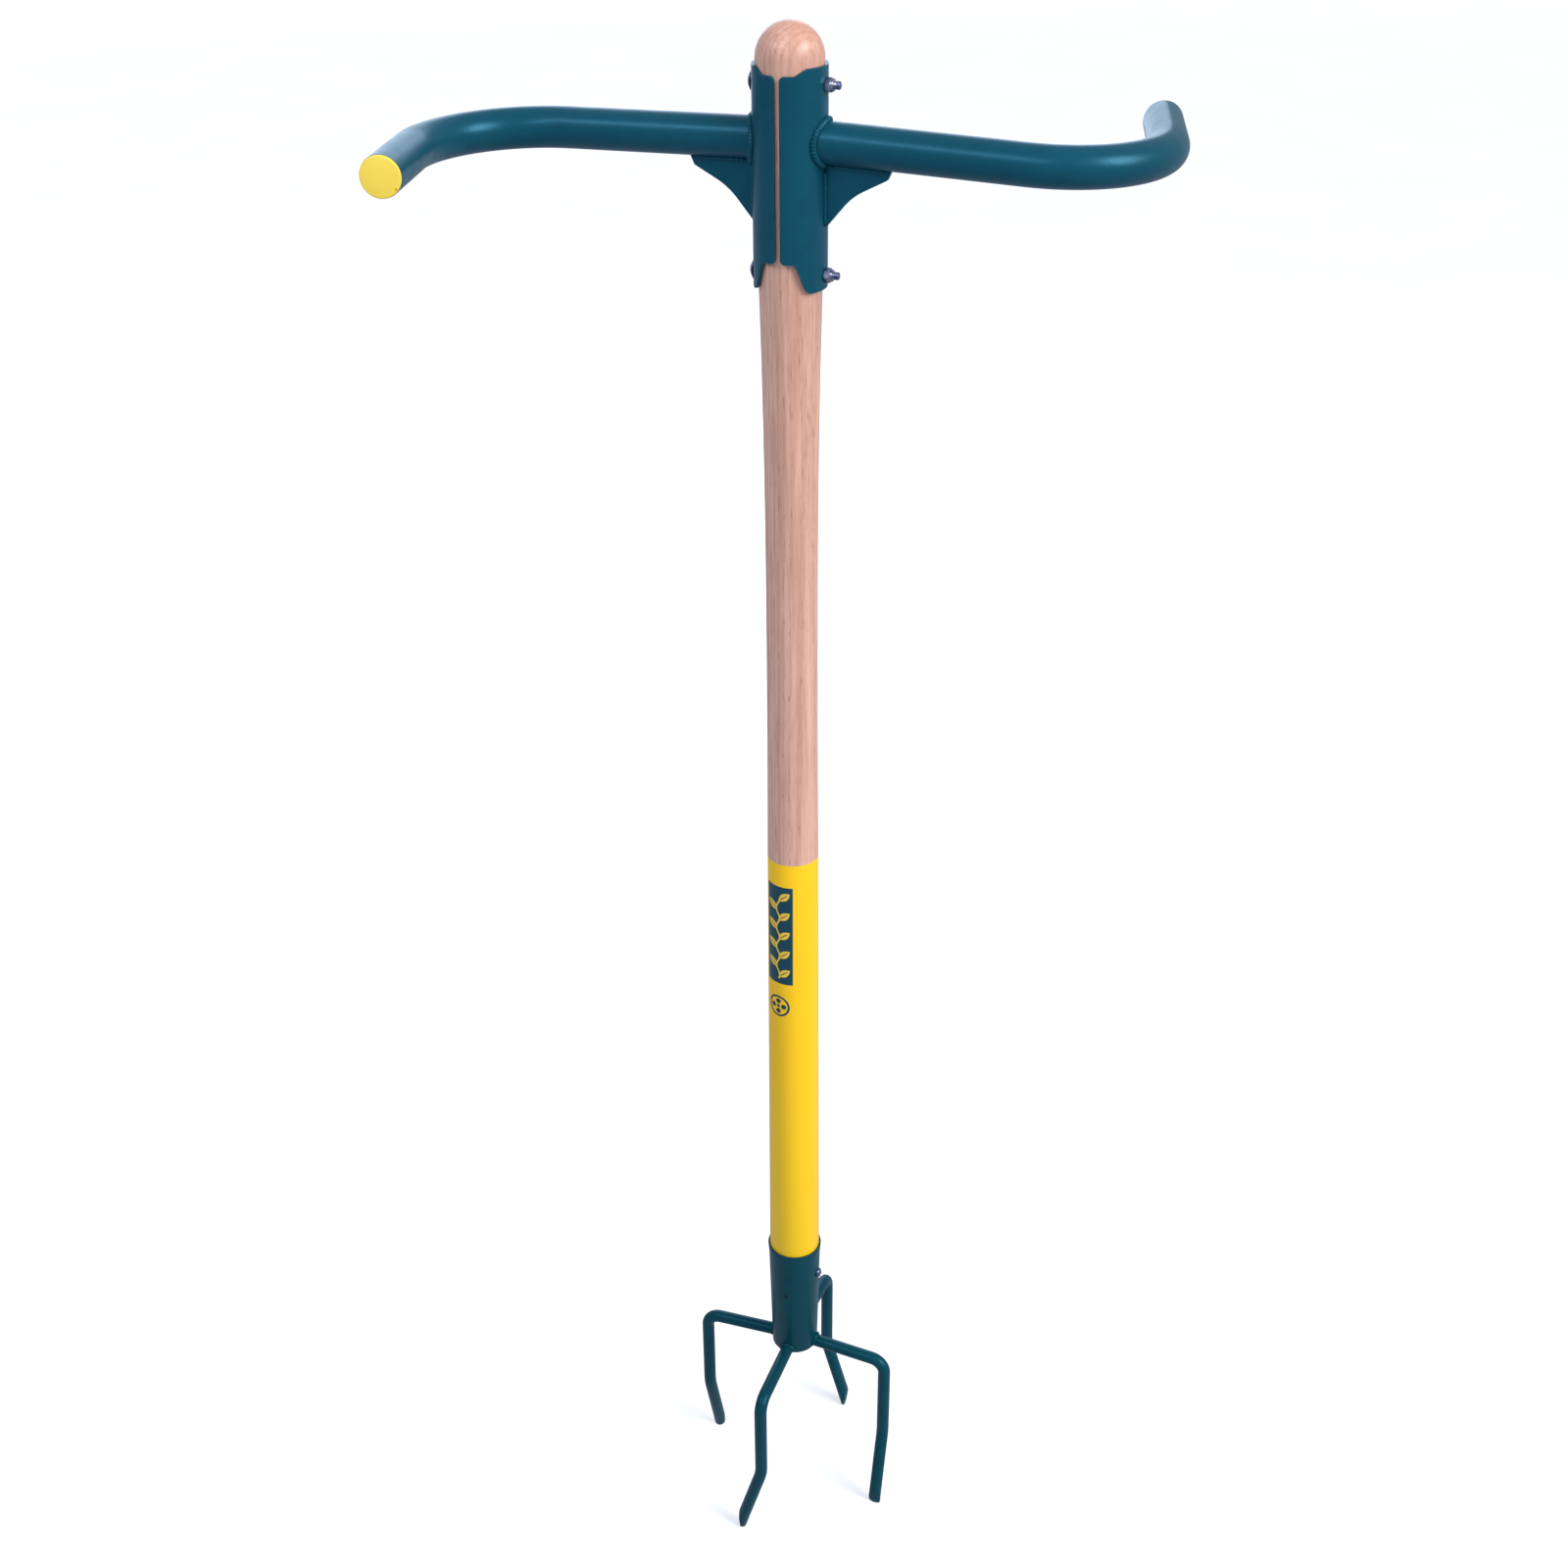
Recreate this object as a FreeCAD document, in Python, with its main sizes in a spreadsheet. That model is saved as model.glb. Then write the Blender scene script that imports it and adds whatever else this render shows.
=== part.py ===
import FreeCAD, Part
import math
import os
import re
import Sketcher

# Lawn aerator fork: a turned ash handle with a domed top stands on the Z axis.
# A clamp collar of two bent half-shells carries the two handlebar arms near the top,
# and a tapered steel socket at the foot carries four bent tines.
# Millimetres and degrees. The tine points stand on Z = 0 and +X is the right arm.

SIZES = {
    "overall_height": 1186.0,
    # handle
    "dome_radius": 20.8,
    "dome_show": 24.0,
    "handle_clamp_step": 1.05,
    "handle_waist_step": 2.45,
    "handle_tail_gap": 8.0,
    # printed film sleeve on the lower handle
    "sleeve_length": 366.0,
    "sleeve_top_step": 0.9,
    "sleeve_foot_step": 1.45,
    "sleeve_wall": 0.6,
    "sleeve_mouth_gap": 0.15,
    # clamp collar
    "collar_length": 131.5,
    "collar_wall": 2.0,
    "collar_fit_gap": 0.1,
    "collar_slit": 3.5,
    "collar_tab_rise": 4.0,
    "collar_tab_drop": 18.2,
    "collar_tab_reach": 16.75,
    "collar_shoulder_reach": 10.75,
    "collar_slit_rounding": 3.0,
    "collar_shoulder_rounding": 2.5,
    "collar_tab_rounding": 1.5,
    "upper_bolt_inset": 11.0,
    "lower_bolt_inset": 8.3,
    # clamp bolts: M5 coach bolts with nylon insert nuts
    "bolt_thread": 5.0,
    "bolt_tip_show": 3.8,
    "bolt_hole_gap": 0.25,
    "bolt_head_radius": 6.75,
    "bolt_head_height": 3.3,
    "bolt_tip_bevel": 0.6,
    "nut_hex_wall": 1.5,
    "nut_hex_height": 3.6,
    "nut_height": 5.0,
    "nut_crown_wall": 0.6,
    "nut_bevel": 0.5,
    "nut_bevel_angle": 30.0,
    "nut_insert_width": 0.6,
    "nut_insert_height": 1.1,
    "nut_insert_inset": 0.1,
    "thread_gap": 0.05,
    # handlebar arms
    "bar_drop": 43.5,
    "bar_diameter": 25.0,
    "bar_wall": 1.5,
    "bar_run": 145.6,
    "bar_bend_radius": 66.8,
    "bar_bend_angle": 104.9,
    "bar_grip_length": 64.0,
    "bar_droop": 1.52,
    # end caps
    "cap_flange": 2.2,
    "cap_inset": 0.2,
    "cap_edge_rounding": 0.9,
    "cap_plug_depth": 14.0,
    "cap_plug_wall": 1.6,
    "cap_plug_draft": 0.05,
    "cap_fit_gap": 0.05,
    # gusset plates
    "gusset_thickness": 4.0,
    "gusset_length": 41.4,
    "gusset_nose_length": 38.9,
    "gusset_nose_depth": 7.0,
    "gusset_waist_length": 16.6,
    "gusset_waist_depth": 18.6,
    "gusset_foot_depth": 37.4,
    "gusset_waist_rounding": 45.0,
    # weld beads
    "bar_weld_leg": 2.8,
    "bar_weld_bevel": 1.7,
    "gusset_weld_leg": 2.2,
    "tine_weld_leg": 1.8,
    "tine_weld_bevel": 1.26,
    "weld_root": 1.0,
    "weld_run_gap": 0.6,
    # tine socket
    "socket_bottom": 147.0,
    "socket_length": 105.7,
    "socket_flare_length": 11.0,
    "socket_flare_step": 0.8,
    "socket_foot_step": 2.1,
    "socket_wall": 1.4,
    "socket_fit_gap": 0.1,
    "pin_hole_radius": 1.6,
    "pin_hole_drop": 43.5,
    # socket screw
    "screw_drop": 28.0,
    "screw_head_radius": 3.9,
    "screw_head_height": 2.6,
    "screw_head_rim": 1.04,
    "screw_shank_radius": 2.0,
    "screw_length": 16.0,
    "screw_point": 4.0,
    "screw_gap": 0.05,
    "screw_recess_width": 1.0,
    "screw_recess_reach": 2.2,
    "screw_recess_depth": 1.4,
    # tines
    "tine_diameter": 10.0,
    "tine_reach": 78.2,
    "tine_arm_rise": 2.4,
    "tine_arm_droop": 3.0,
    "tine_corner_radius": 12.0,
    "tine_knee_height": 68.4,
    "tine_knee_radius": 45.0,
    "tine_lean": 16.15,
    "tine_point_length": 18.0,
    "tine_point_thickness": 3.2,
}

# Places that several pieces share, as expressions on the sizes.
COLLAR_TOP = "(overall_height - dome_show)"
COLLAR_BOTTOM = f"({COLLAR_TOP} - collar_length)"
COLLAR_INNER = "(dome_radius + collar_fit_gap)"
COLLAR_OUTER = f"({COLLAR_INNER} + collar_wall)"
BAR_HEIGHT = f"({COLLAR_TOP} - bar_drop)"
BAR_RADIUS = "(bar_diameter / 2)"
BAR_BORE = f"({BAR_RADIUS} - bar_wall)"
BOLT_RADIUS = "(bolt_thread / 2)"
BOLT_LENGTH = f"(2 * {COLLAR_OUTER} + nut_height + bolt_tip_show)"
NUT_FLATS = "(bolt_thread + 2 * nut_hex_wall)"
NUT_RECESS = f"({BOLT_RADIUS} + nut_insert_width)"
NUT_SEAT = "(nut_height - nut_insert_height - nut_insert_inset)"
UPPER_BOLT = f"({COLLAR_TOP} - upper_bolt_inset)"
LOWER_BOLT = f"({COLLAR_BOTTOM} + lower_bolt_inset)"
TINE_RADIUS = "(tine_diameter / 2)"

# The handle's radii step down from its dome, and the socket's follow the handle's.
CLAMP_RADIUS = "(dome_radius - handle_clamp_step)"
WAIST_RADIUS = f"({CLAMP_RADIUS} - handle_waist_step)"
SLEEVE_TOP_RADIUS = f"({WAIST_RADIUS} + sleeve_top_step)"
SLEEVE_FOOT_RADIUS = f"({SLEEVE_TOP_RADIUS} + sleeve_foot_step)"
MOUTH_RADIUS = f"({SLEEVE_FOOT_RADIUS} + sleeve_mouth_gap + socket_wall)"
NECK_RADIUS = f"({MOUTH_RADIUS} - socket_flare_step)"
FOOT_RADIUS = f"({NECK_RADIUS} - socket_foot_step)"
SOCKET_TAPER = "(socket_foot_step / (socket_length - socket_flare_length))"

SOCKET_TOP = "(socket_bottom + socket_length)"
SOCKET_NECK = f"({SOCKET_TOP} - socket_flare_length)"
SLEEVE_TOP = f"({SOCKET_TOP} + sleeve_length)"
WAIST = f"(({SLEEVE_TOP} + {COLLAR_BOTTOM}) / 2)"
TAIL_END = "(socket_bottom + handle_tail_gap)"
SCREW_HEIGHT = f"({SOCKET_TOP} - screw_drop)"
SCREW_HOLE = "(screw_shank_radius + screw_gap)"

PARTS_FOLDER = "parts"
SAME_PLACE = 0.01

doc = FreeCAD.newDocument("lawn_aerator_fork")
sheet = doc.addObject("Spreadsheet::Sheet", "Dim")
for row, (alias, amount) in enumerate(SIZES.items(), start=1):
    sheet.set(f"A{row}", alias)
    sheet.set(f"B{row}", str(amount))
    sheet.setAlias(f"B{row}", alias)
doc.recompute()

pieces = []


# ---------------------------------------------------------------- expressions

def bound(text):
    """The text with every size name pointed at the sheet."""
    return re.sub(r"\b([a-z]+(?:_[a-z]+)+)\b", r"Dim.\1", text)


def value(text):
    """What an expression on the sizes comes to now."""
    return float(sheet.evalExpression(bound(text)))


def move(x="0", y="0", z="0", axis="Z", angle="0"):
    """One shift and turn, as expression text."""
    axes = {"X": "vector(1; 0; 0)", "Y": "vector(0; 1; 0)", "Z": "vector(0; 0; 1)"}
    return f"placement(vector({x}; {y}; {z}); rotation({axes[axis]}; {angle}))"


def place(piece, *moves):
    """Bind a piece's Placement to a chain of moves, outermost first."""
    piece.setExpression("Placement", bound(" * ".join(moves)))


# ------------------------------------------------------------------- sketches

def new_body(label):
    """An empty body that becomes the part file of that name."""
    body = doc.addObject("PartDesign::Body", label)
    body.Label = label
    body.AllowCompound = True
    pieces.append(body)
    return body


def new_sketch(body, name, plane, offset=None):
    """A sketch on one of the body's origin planes, moved off it by offset."""
    sketch = body.newObject("Sketcher::SketchObject", f"{body.Name}_{name}")
    origin_planes = [item for item in body.Origin.OriginFeatures if item.Role == plane]
    sketch.AttachmentSupport = [(origin_planes[0], "")]
    sketch.MapMode = "FlatFace"
    if offset:
        sketch.setExpression("AttachmentOffset", bound(offset))
    doc.recompute()
    return sketch


def pin_point(sketch, geometry, end, x, y):
    """Tie one point of a sketch to two expressions, measured from its origin."""
    for kind, axis, length in (("DistanceX", -2, x), ("DistanceY", -1, y)):
        if length == "0":
            sketch.addConstraint(Sketcher.Constraint("PointOnObject", geometry, end, axis))
            continue
        rule = Sketcher.Constraint(kind, -1, 1, geometry, end, value(length))
        index = sketch.addConstraint(rule)
        sketch.setExpression(f"Constraints[{index}]", bound(length))


def add_circle(sketch, x, y, radius):
    """A circle whose centre and radius are expressions."""
    centre = FreeCAD.Vector(value(x), value(y), 0)
    circle = Part.Circle(centre, FreeCAD.Vector(0, 0, 1), value(radius))
    geometry = sketch.addGeometry(circle, False)
    pin_point(sketch, geometry, 3, x, y)
    index = sketch.addConstraint(Sketcher.Constraint("Radius", geometry, value(radius)))
    sketch.setExpression(f"Constraints[{index}]", bound(radius))


def arc_between(start, finish, radius, side):
    """The short arc from start to finish; side is +1 where it turns left, -1 right."""
    chord = finish - start
    half = chord.Length / 2
    across = FreeCAD.Vector(-chord.y, chord.x, 0).normalize()
    centre = (start + finish) * 0.5 + across * side * math.sqrt(radius ** 2 - half ** 2)
    first = math.atan2(start.y - centre.y, start.x - centre.x)
    last = math.atan2(finish.y - centre.y, finish.x - centre.x)
    circle = Part.Circle(centre, FreeCAD.Vector(0, 0, 1), radius)
    if side > 0:
        return Part.ArcOfCircle(circle, first, last)
    return Part.ArcOfCircle(circle, last, first)


def add_path(sketch, steps, closed=True):
    """Lines and arcs through points. A step is (x, y) for a line to that point,
    or (x, y, radius, side) for an arc to it. The first step is the start point."""
    spots = [FreeCAD.Vector(value(step[0]), value(step[1]), 0) for step in steps]
    legs = list(range(1, len(steps)))
    if closed:
        legs.append(0)
    ends = []
    for number in legs:
        start, finish = spots[number - 1], spots[number]
        step = steps[number]
        if len(step) == 2:
            geometry = sketch.addGeometry(Part.LineSegment(start, finish), False)
            ends.append((geometry, 1, 2))
            continue
        radius, side = step[2], step[3]
        geometry = sketch.addGeometry(arc_between(start, finish, value(radius), side), False)
        ends.append((geometry, 1, 2) if side > 0 else (geometry, 2, 1))
        index = sketch.addConstraint(Sketcher.Constraint("Radius", geometry, value(radius)))
        sketch.setExpression(f"Constraints[{index}]", bound(radius))
    for before, after in zip(ends, ends[1:]):
        sketch.addConstraint(
            Sketcher.Constraint("Coincident", before[0], before[2], after[0], after[1]))
    if closed:
        first, last = ends[0], ends[-1]
        sketch.addConstraint(
            Sketcher.Constraint("Coincident", last[0], last[2], first[0], first[1]))
    for step, (geometry, first_end, _) in zip(steps, ends):
        pin_point(sketch, geometry, first_end, step[0], step[1])
    if not closed:
        geometry, _, last_end = ends[-1]
        pin_point(sketch, geometry, last_end, steps[-1][0], steps[-1][1])


def outline(body, name, plane, steps, offset=None, closed=True):
    """A sketch that holds one path."""
    sketch = new_sketch(body, name, plane, offset)
    add_path(sketch, steps, closed)
    doc.recompute()
    return sketch


def disc(body, name, plane, x, y, radii, offset=None):
    """A sketch of circles with one centre: a disc, or a ring."""
    sketch = new_sketch(body, name, plane, offset)
    for radius in radii:
        add_circle(sketch, x, y, radius)
    doc.recompute()
    return sketch


# ------------------------------------------------------------------- features

def finish_feature(body, feature, sign):
    """Recompute, and check that the feature added (+1) or removed (-1) material."""
    before = getattr(feature.BaseFeature, "Shape", None)
    doc.recompute()
    volume = feature.Shape.Volume - (before.Volume if before else 0.0)
    if volume * sign <= 0:
        raise RuntimeError(f"{feature.Name} changes the volume by {volume:.3f}")
    body.Tip = feature


def pad(body, sketch, length, symmetric=False, backwards=False):
    """Thicken a sketch."""
    feature = body.newObject("PartDesign::Pad", f"{sketch.Name}_pad")
    feature.Profile = sketch
    feature.SideType = "Symmetric" if symmetric else "One side"
    feature.Reversed = backwards
    feature.setExpression("Length", bound(length))
    finish_feature(body, feature, 1)


def pocket(body, sketch, length, symmetric=False, backwards=False):
    """Cut a sketch away, against the sketch's normal unless backwards."""
    feature = body.newObject("PartDesign::Pocket", f"{sketch.Name}_cut")
    feature.Profile = sketch
    feature.SideType = "Symmetric" if symmetric else "One side"
    feature.Reversed = backwards
    feature.setExpression("Length", bound(length))
    finish_feature(body, feature, -1)


def revolve(body, sketch, cut=False):
    """Turn a sketch about its own vertical axis, as a solid or as a cut."""
    kind = "Groove" if cut else "Revolution"
    feature = body.newObject(f"PartDesign::{kind}", f"{sketch.Name}_turn")
    feature.Profile = sketch
    feature.ReferenceAxis = (sketch, ["V_Axis"])
    feature.Angle = 360
    finish_feature(body, feature, -1 if cut else 1)


def sweep(body, section, spine):
    """Carry a section along a spine sketch."""
    feature = body.newObject("PartDesign::AdditivePipe", f"{spine.Name}_sweep")
    feature.Profile = section
    feature.Spine = spine
    feature.Transition = "Right corner"
    finish_feature(body, feature, 1)


def edges_where(shape, test):
    """Names of the edges whose two ends both pass the test."""
    names = []
    for number, edge in enumerate(shape.Edges, start=1):
        if all(test(vertex.Point) for vertex in edge.Vertexes):
            names.append(f"Edge{number}")
    return names


def round_edges(body, x, z, radius):
    """Fillet the edges that run along Y at one place in the XZ plane."""
    base = body.Tip
    feature = body.newObject("PartDesign::Fillet", f"{base.Name}_round")
    names = edges_where(base.Shape, lambda point: near(point.x, x) and near(point.z, z))
    feature.Base = (base, names)
    feature.setExpression("Radius", bound(radius))
    doc.recompute()
    if not feature.Shape.isValid():
        raise RuntimeError(f"{feature.Name} is not a valid fillet")
    body.Tip = feature


def bevel_edges(body, test, size):
    """Chamfer the edges whose two ends both pass the test."""
    base = body.Tip
    feature = body.newObject("PartDesign::Chamfer", f"{base.Name}_bevel")
    feature.Base = (base, edges_where(base.Shape, test))
    feature.setExpression("Size", bound(size))
    finish_feature(body, feature, -1)


def near(first, second):
    """Whether two lengths are the same, to within the tolerance of a drawing."""
    return abs(first - second) < SAME_PLACE


def offset_from_arm(point, start, droop):
    """How far along, and how far out from, an arm that leaves start along +X and droops."""
    slope = math.radians(droop)
    ahead, rise = point.x - start.x, point.z - start.z
    along = ahead * math.cos(slope) - rise * math.sin(slope)
    across = ahead * math.sin(slope) + rise * math.cos(slope)
    return along, math.hypot(across, point.y)


# ------------------------------------------------------------- wooden handle
# Turned in one piece: a tail for the socket, a seat for the sleeve, a slim waist,
# a thicker clamp stretch under the collar, and a domed top.

def swept_radius(rise, run):
    """Radius of an arc that leaves the handle's line straight and rises over a run."""
    return f"((({run}) * ({run}) + ({rise}) * ({rise})) / (2 * ({rise})))"


def tail_steps(inset):
    """The socket's inner line, moved in by inset, as (radius, height) steps upwards."""
    depth = f"(socket_wall + socket_fit_gap + {inset})"
    return [
        (f"{FOOT_RADIUS} + {SOCKET_TAPER} * handle_tail_gap - {depth}", TAIL_END),
        (f"{NECK_RADIUS} - {depth}", SOCKET_NECK),
    ]


def wooden_handle():
    """The ash handle, with the holes for the clamp bolts and the socket screw."""
    body = new_body("wooden_handle")
    half_span = f"(({COLLAR_BOTTOM} - {SLEEVE_TOP}) / 2)"
    lower_arc = swept_radius("sleeve_top_step", half_span)
    upper_arc = swept_radius("handle_waist_step", half_span)
    tail = tail_steps("sleeve_wall")
    profile = outline(body, "profile", "XZ_Plane", [
        ("0", TAIL_END),
        *tail,
        (f"{SLEEVE_FOOT_RADIUS} - sleeve_wall", SOCKET_TOP),
        (f"{SLEEVE_TOP_RADIUS} - sleeve_wall", SLEEVE_TOP),
        (SLEEVE_TOP_RADIUS, SLEEVE_TOP),
        (WAIST_RADIUS, WAIST, lower_arc, -1),
        (CLAMP_RADIUS, COLLAR_BOTTOM, upper_arc, -1),
        ("dome_radius", "overall_height - dome_radius"),
        ("0", "overall_height", "dome_radius", 1),
    ])
    revolve(body, profile)
    for name, height in (("upper", UPPER_BOLT), ("lower", LOWER_BOLT)):
        hole = disc(body, f"{name}_bolt_hole", "YZ_Plane", "0", height,
                    [f"{BOLT_RADIUS} + bolt_hole_gap"])
        pocket(body, hole, "4 * dome_radius", symmetric=True)
    hole = disc(body, "screw_hole", "YZ_Plane", "0", SCREW_HEIGHT, [SCREW_HOLE])
    pocket(body, hole, f"2 * {MOUTH_RADIUS}", backwards=True)


def handle_sleeve():
    """A thin plastic film shrunk on the lower handle, down to the end of its tail."""
    body = new_body("handle_sleeve")
    outside = tail_steps("0")
    inside = tail_steps("sleeve_wall")
    profile = outline(body, "profile", "XZ_Plane", [
        *outside,
        (SLEEVE_FOOT_RADIUS, SOCKET_TOP),
        (SLEEVE_TOP_RADIUS, SLEEVE_TOP),
        (f"{SLEEVE_TOP_RADIUS} - sleeve_wall", SLEEVE_TOP),
        (f"{SLEEVE_FOOT_RADIUS} - sleeve_wall", SOCKET_TOP),
        *reversed(inside),
    ])
    revolve(body, profile)
    hole = disc(body, "screw_hole", "YZ_Plane", "0", SCREW_HEIGHT, [SCREW_HOLE])
    pocket(body, hole, f"2 * {MOUTH_RADIUS}", backwards=True)


# --------------------------------------------------------------- clamp collar
# Two half-shells bent from sheet. Each has a shorter edge along the slit and
# a longer tab at its middle, top and bottom, where the clamp bolts pass.

def collar_half(label, turn, neck_hole):
    """One half-shell about +X, turned to its side."""
    body = new_body(label)
    slit = "(collar_slit / 2)"
    outer_end = f"sqrt({COLLAR_OUTER} ^ 2 - {slit} ^ 2)"
    inner_end = f"sqrt({COLLAR_INNER} ^ 2 - {slit} ^ 2)"
    wall = new_sketch(body, "wall", "XY_Plane", move(z=COLLAR_BOTTOM))
    # each half ring is drawn as two quarter arcs
    add_path(wall, [
        (slit, f"-{outer_end}"),
        (COLLAR_OUTER, "0", COLLAR_OUTER, 1),
        (slit, outer_end, COLLAR_OUTER, 1),
        (slit, inner_end),
        (COLLAR_INNER, "0", COLLAR_INNER, -1),
        (slit, f"-{inner_end}", COLLAR_INNER, -1),
    ])
    doc.recompute()
    pad(body, wall, "collar_length")

    shoulders = new_sketch(body, "shoulders", "XZ_Plane")
    edges = (
        (f"{COLLAR_BOTTOM} + collar_tab_drop", COLLAR_BOTTOM, f"{COLLAR_BOTTOM} - collar_wall"),
        (f"{COLLAR_TOP} - collar_tab_rise", COLLAR_TOP, f"{COLLAR_TOP} + collar_wall"),
    )
    for edge, level, beyond in edges:
        add_path(shoulders, [
            ("0", edge),
            ("collar_shoulder_reach", edge),
            ("collar_tab_reach", level),
            ("collar_tab_reach", beyond),
            ("0", beyond),
        ])
    doc.recompute()
    pocket(body, shoulders, f"3 * {COLLAR_OUTER}", symmetric=True)
    for edge, level, _ in edges:
        for x, z, radius in ((slit, edge, "collar_slit_rounding"),
                             ("collar_shoulder_reach", edge, "collar_shoulder_rounding"),
                             ("collar_tab_reach", level, "collar_tab_rounding")):
            round_edges(body, value(x), value(z), radius)

    for name, height in (("upper", UPPER_BOLT), ("lower", LOWER_BOLT)):
        reach = f"({BOLT_RADIUS} + bolt_hole_gap)"
        if neck_hole:
            hole = outline(body, f"{name}_bolt_hole", "YZ_Plane", [
                (f"-{reach}", f"{height} - {reach}"),
                (reach, f"{height} - {reach}"),
                (reach, f"{height} + {reach}"),
                (f"-{reach}", f"{height} + {reach}"),
            ])
        else:
            hole = disc(body, f"{name}_bolt_hole", "YZ_Plane", "0", height, [reach])
        pocket(body, hole, f"2 * {COLLAR_OUTER}", backwards=True)
    place(body, move(angle=turn))


# --------------------------------------------------------------- clamp bolts
# Coach bolts with a domed head and a short square neck run along X through
# both half-shells and the handle. Nylon insert nuts hold them on the +X side.

def clamp_bolt(label, height):
    """A coach bolt, drawn from its head's seat along +Z and turned to +X."""
    body = new_body(label)
    dome = "((bolt_head_radius ^ 2 + bolt_head_height ^ 2) / (2 * bolt_head_height))"
    profile = outline(body, "profile", "XZ_Plane", [
        ("0", "-bolt_head_height"),
        ("bolt_head_radius", "0", dome, 1),
        (BOLT_RADIUS, "0"),
        (BOLT_RADIUS, f"{BOLT_LENGTH} - bolt_tip_bevel"),
        (f"{BOLT_RADIUS} - bolt_tip_bevel", BOLT_LENGTH),
        ("0", BOLT_LENGTH),
    ])
    revolve(body, profile)
    neck = outline(body, "neck", "XY_Plane", [
        (f"-{BOLT_RADIUS}", f"-{BOLT_RADIUS}"),
        (BOLT_RADIUS, f"-{BOLT_RADIUS}"),
        (BOLT_RADIUS, BOLT_RADIUS),
        (f"-{BOLT_RADIUS}", BOLT_RADIUS),
    ])
    pad(body, neck, "collar_wall")
    place(body, move(x=f"-{COLLAR_OUTER}", z=height, axis="Y", angle="90"))


def clamp_nut(label, height):
    """A hexagon nut with a thin round crown that holds the nylon ring."""
    body = new_body(label)
    corner = f"({NUT_FLATS} / sqrt(3))"
    flat = f"({NUT_FLATS} / 2)"
    hexagon = outline(body, "hexagon", "XY_Plane", [
        (corner, "0"),
        (f"{corner} / 2", flat),
        (f"-{corner} / 2", flat),
        (f"-{corner}", "0"),
        (f"-{corner} / 2", f"-{flat}"),
        (f"{corner} / 2", f"-{flat}"),
    ])
    pad(body, hexagon, "nut_hex_height")
    crown = disc(body, "crown", "XY_Plane", "0", "0", [f"{NUT_RECESS} + nut_crown_wall"])
    pad(body, crown, "nut_height")
    bevel = outline(body, "bevel", "XZ_Plane", [
        (corner, "nut_hex_height - nut_bevel"),
        (f"{corner} + nut_bevel", "nut_hex_height - nut_bevel"),
        (f"{corner} + nut_bevel", "nut_hex_height"),
        (f"{corner} - nut_bevel / tan(nut_bevel_angle)", "nut_hex_height"),
    ])
    revolve(body, bevel, cut=True)
    bore = outline(body, "bore", "XZ_Plane", [
        ("0", "-nut_height"),
        (f"{BOLT_RADIUS} + thread_gap", "-nut_height"),
        (f"{BOLT_RADIUS} + thread_gap", NUT_SEAT),
        (NUT_RECESS, NUT_SEAT),
        (NUT_RECESS, "2 * nut_height"),
        ("0", "2 * nut_height"),
    ])
    revolve(body, bore, cut=True)
    place(body, move(x=COLLAR_OUTER, z=height, axis="Y", angle="90"))


def nut_insert(label, height):
    """The nylon ring in a nut's crown."""
    body = new_body(label)
    ring = disc(body, "ring", "XY_Plane", "0", "0",
                [NUT_RECESS, f"{BOLT_RADIUS} + thread_gap"], move(z=NUT_SEAT))
    pad(body, ring, "nut_insert_height")
    place(body, move(x=COLLAR_OUTER, z=height, axis="Y", angle="90"))


# ------------------------------------------------------------ handlebar arms
# Each arm is a bent tube, coped to the collar and welded on. It falls a little
# outwards, then bends level through more than a right angle to its grip end.

# where the arm's bend and its grip end, in the arm's own plane
BEND_END = (
    "bar_run + bar_bend_radius * sin(bar_bend_angle)",
    "bar_bend_radius * (1 - cos(bar_bend_angle))",
)
GRIP_END = (
    f"{BEND_END[0]} + bar_grip_length * cos(bar_bend_angle)",
    f"{BEND_END[1]} + bar_grip_length * sin(bar_bend_angle)",
)


def tilted_tube_plane(along="0"):
    """Offset of a YZ sketch that puts it square across the drooping arm."""
    return f"{move(y=BAR_HEIGHT, axis='X', angle='bar_droop')} * {move(z=along)}"


def cope_to_collar(body):
    """Cut the collar's outer cylinder away from a piece that is welded to it."""
    cope = disc(body, "cope", "XY_Plane", "0", "0", [COLLAR_OUTER])
    pocket(body, cope, "4 * overall_height", symmetric=True)


def handlebar_tube(label, turn):
    """One arm, drawn along +X and turned to its side."""
    body = new_body(label)
    section = disc(body, "section", "YZ_Plane", "0", "0", [BAR_RADIUS, BAR_BORE],
                   tilted_tube_plane())
    spine = outline(body, "spine", "XY_Plane", [
        ("0", "0"),
        ("bar_run", "0"),
        (BEND_END[0], BEND_END[1], "bar_bend_radius", 1),
        GRIP_END,
    ], move(z=BAR_HEIGHT, axis="Y", angle="bar_droop"), closed=False)
    sweep(body, section, spine)
    cope_to_collar(body)
    place(body, move(angle=turn))


def end_cap(label, turn):
    """A moulded plug: a flange that covers the tube's end and a hollow spigot."""
    body = new_body(label)
    face = f"({BAR_RADIUS} - cap_inset)"
    plug = f"({BAR_BORE} - cap_fit_gap)"
    profile = outline(body, "profile", "XZ_Plane", [
        ("0", "cap_flange"),
        ("0", "0"),
        (f"{plug} - cap_plug_wall", "0"),
        (f"{plug} - cap_plug_wall", "-cap_plug_depth"),
        (f"{plug} - cap_plug_draft", "-cap_plug_depth"),
        (plug, "0"),
        (face, "0"),
        (face, "cap_flange - cap_edge_rounding"),
        (f"{face} - cap_edge_rounding", "cap_flange", "cap_edge_rounding", 1),
    ])
    revolve(body, profile)
    place(body,
          move(angle=turn),
          move(z=BAR_HEIGHT, axis="Y", angle="bar_droop"),
          move(x=GRIP_END[0], y=GRIP_END[1], angle="bar_bend_angle"),
          move(axis="Y", angle="90"))


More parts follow.
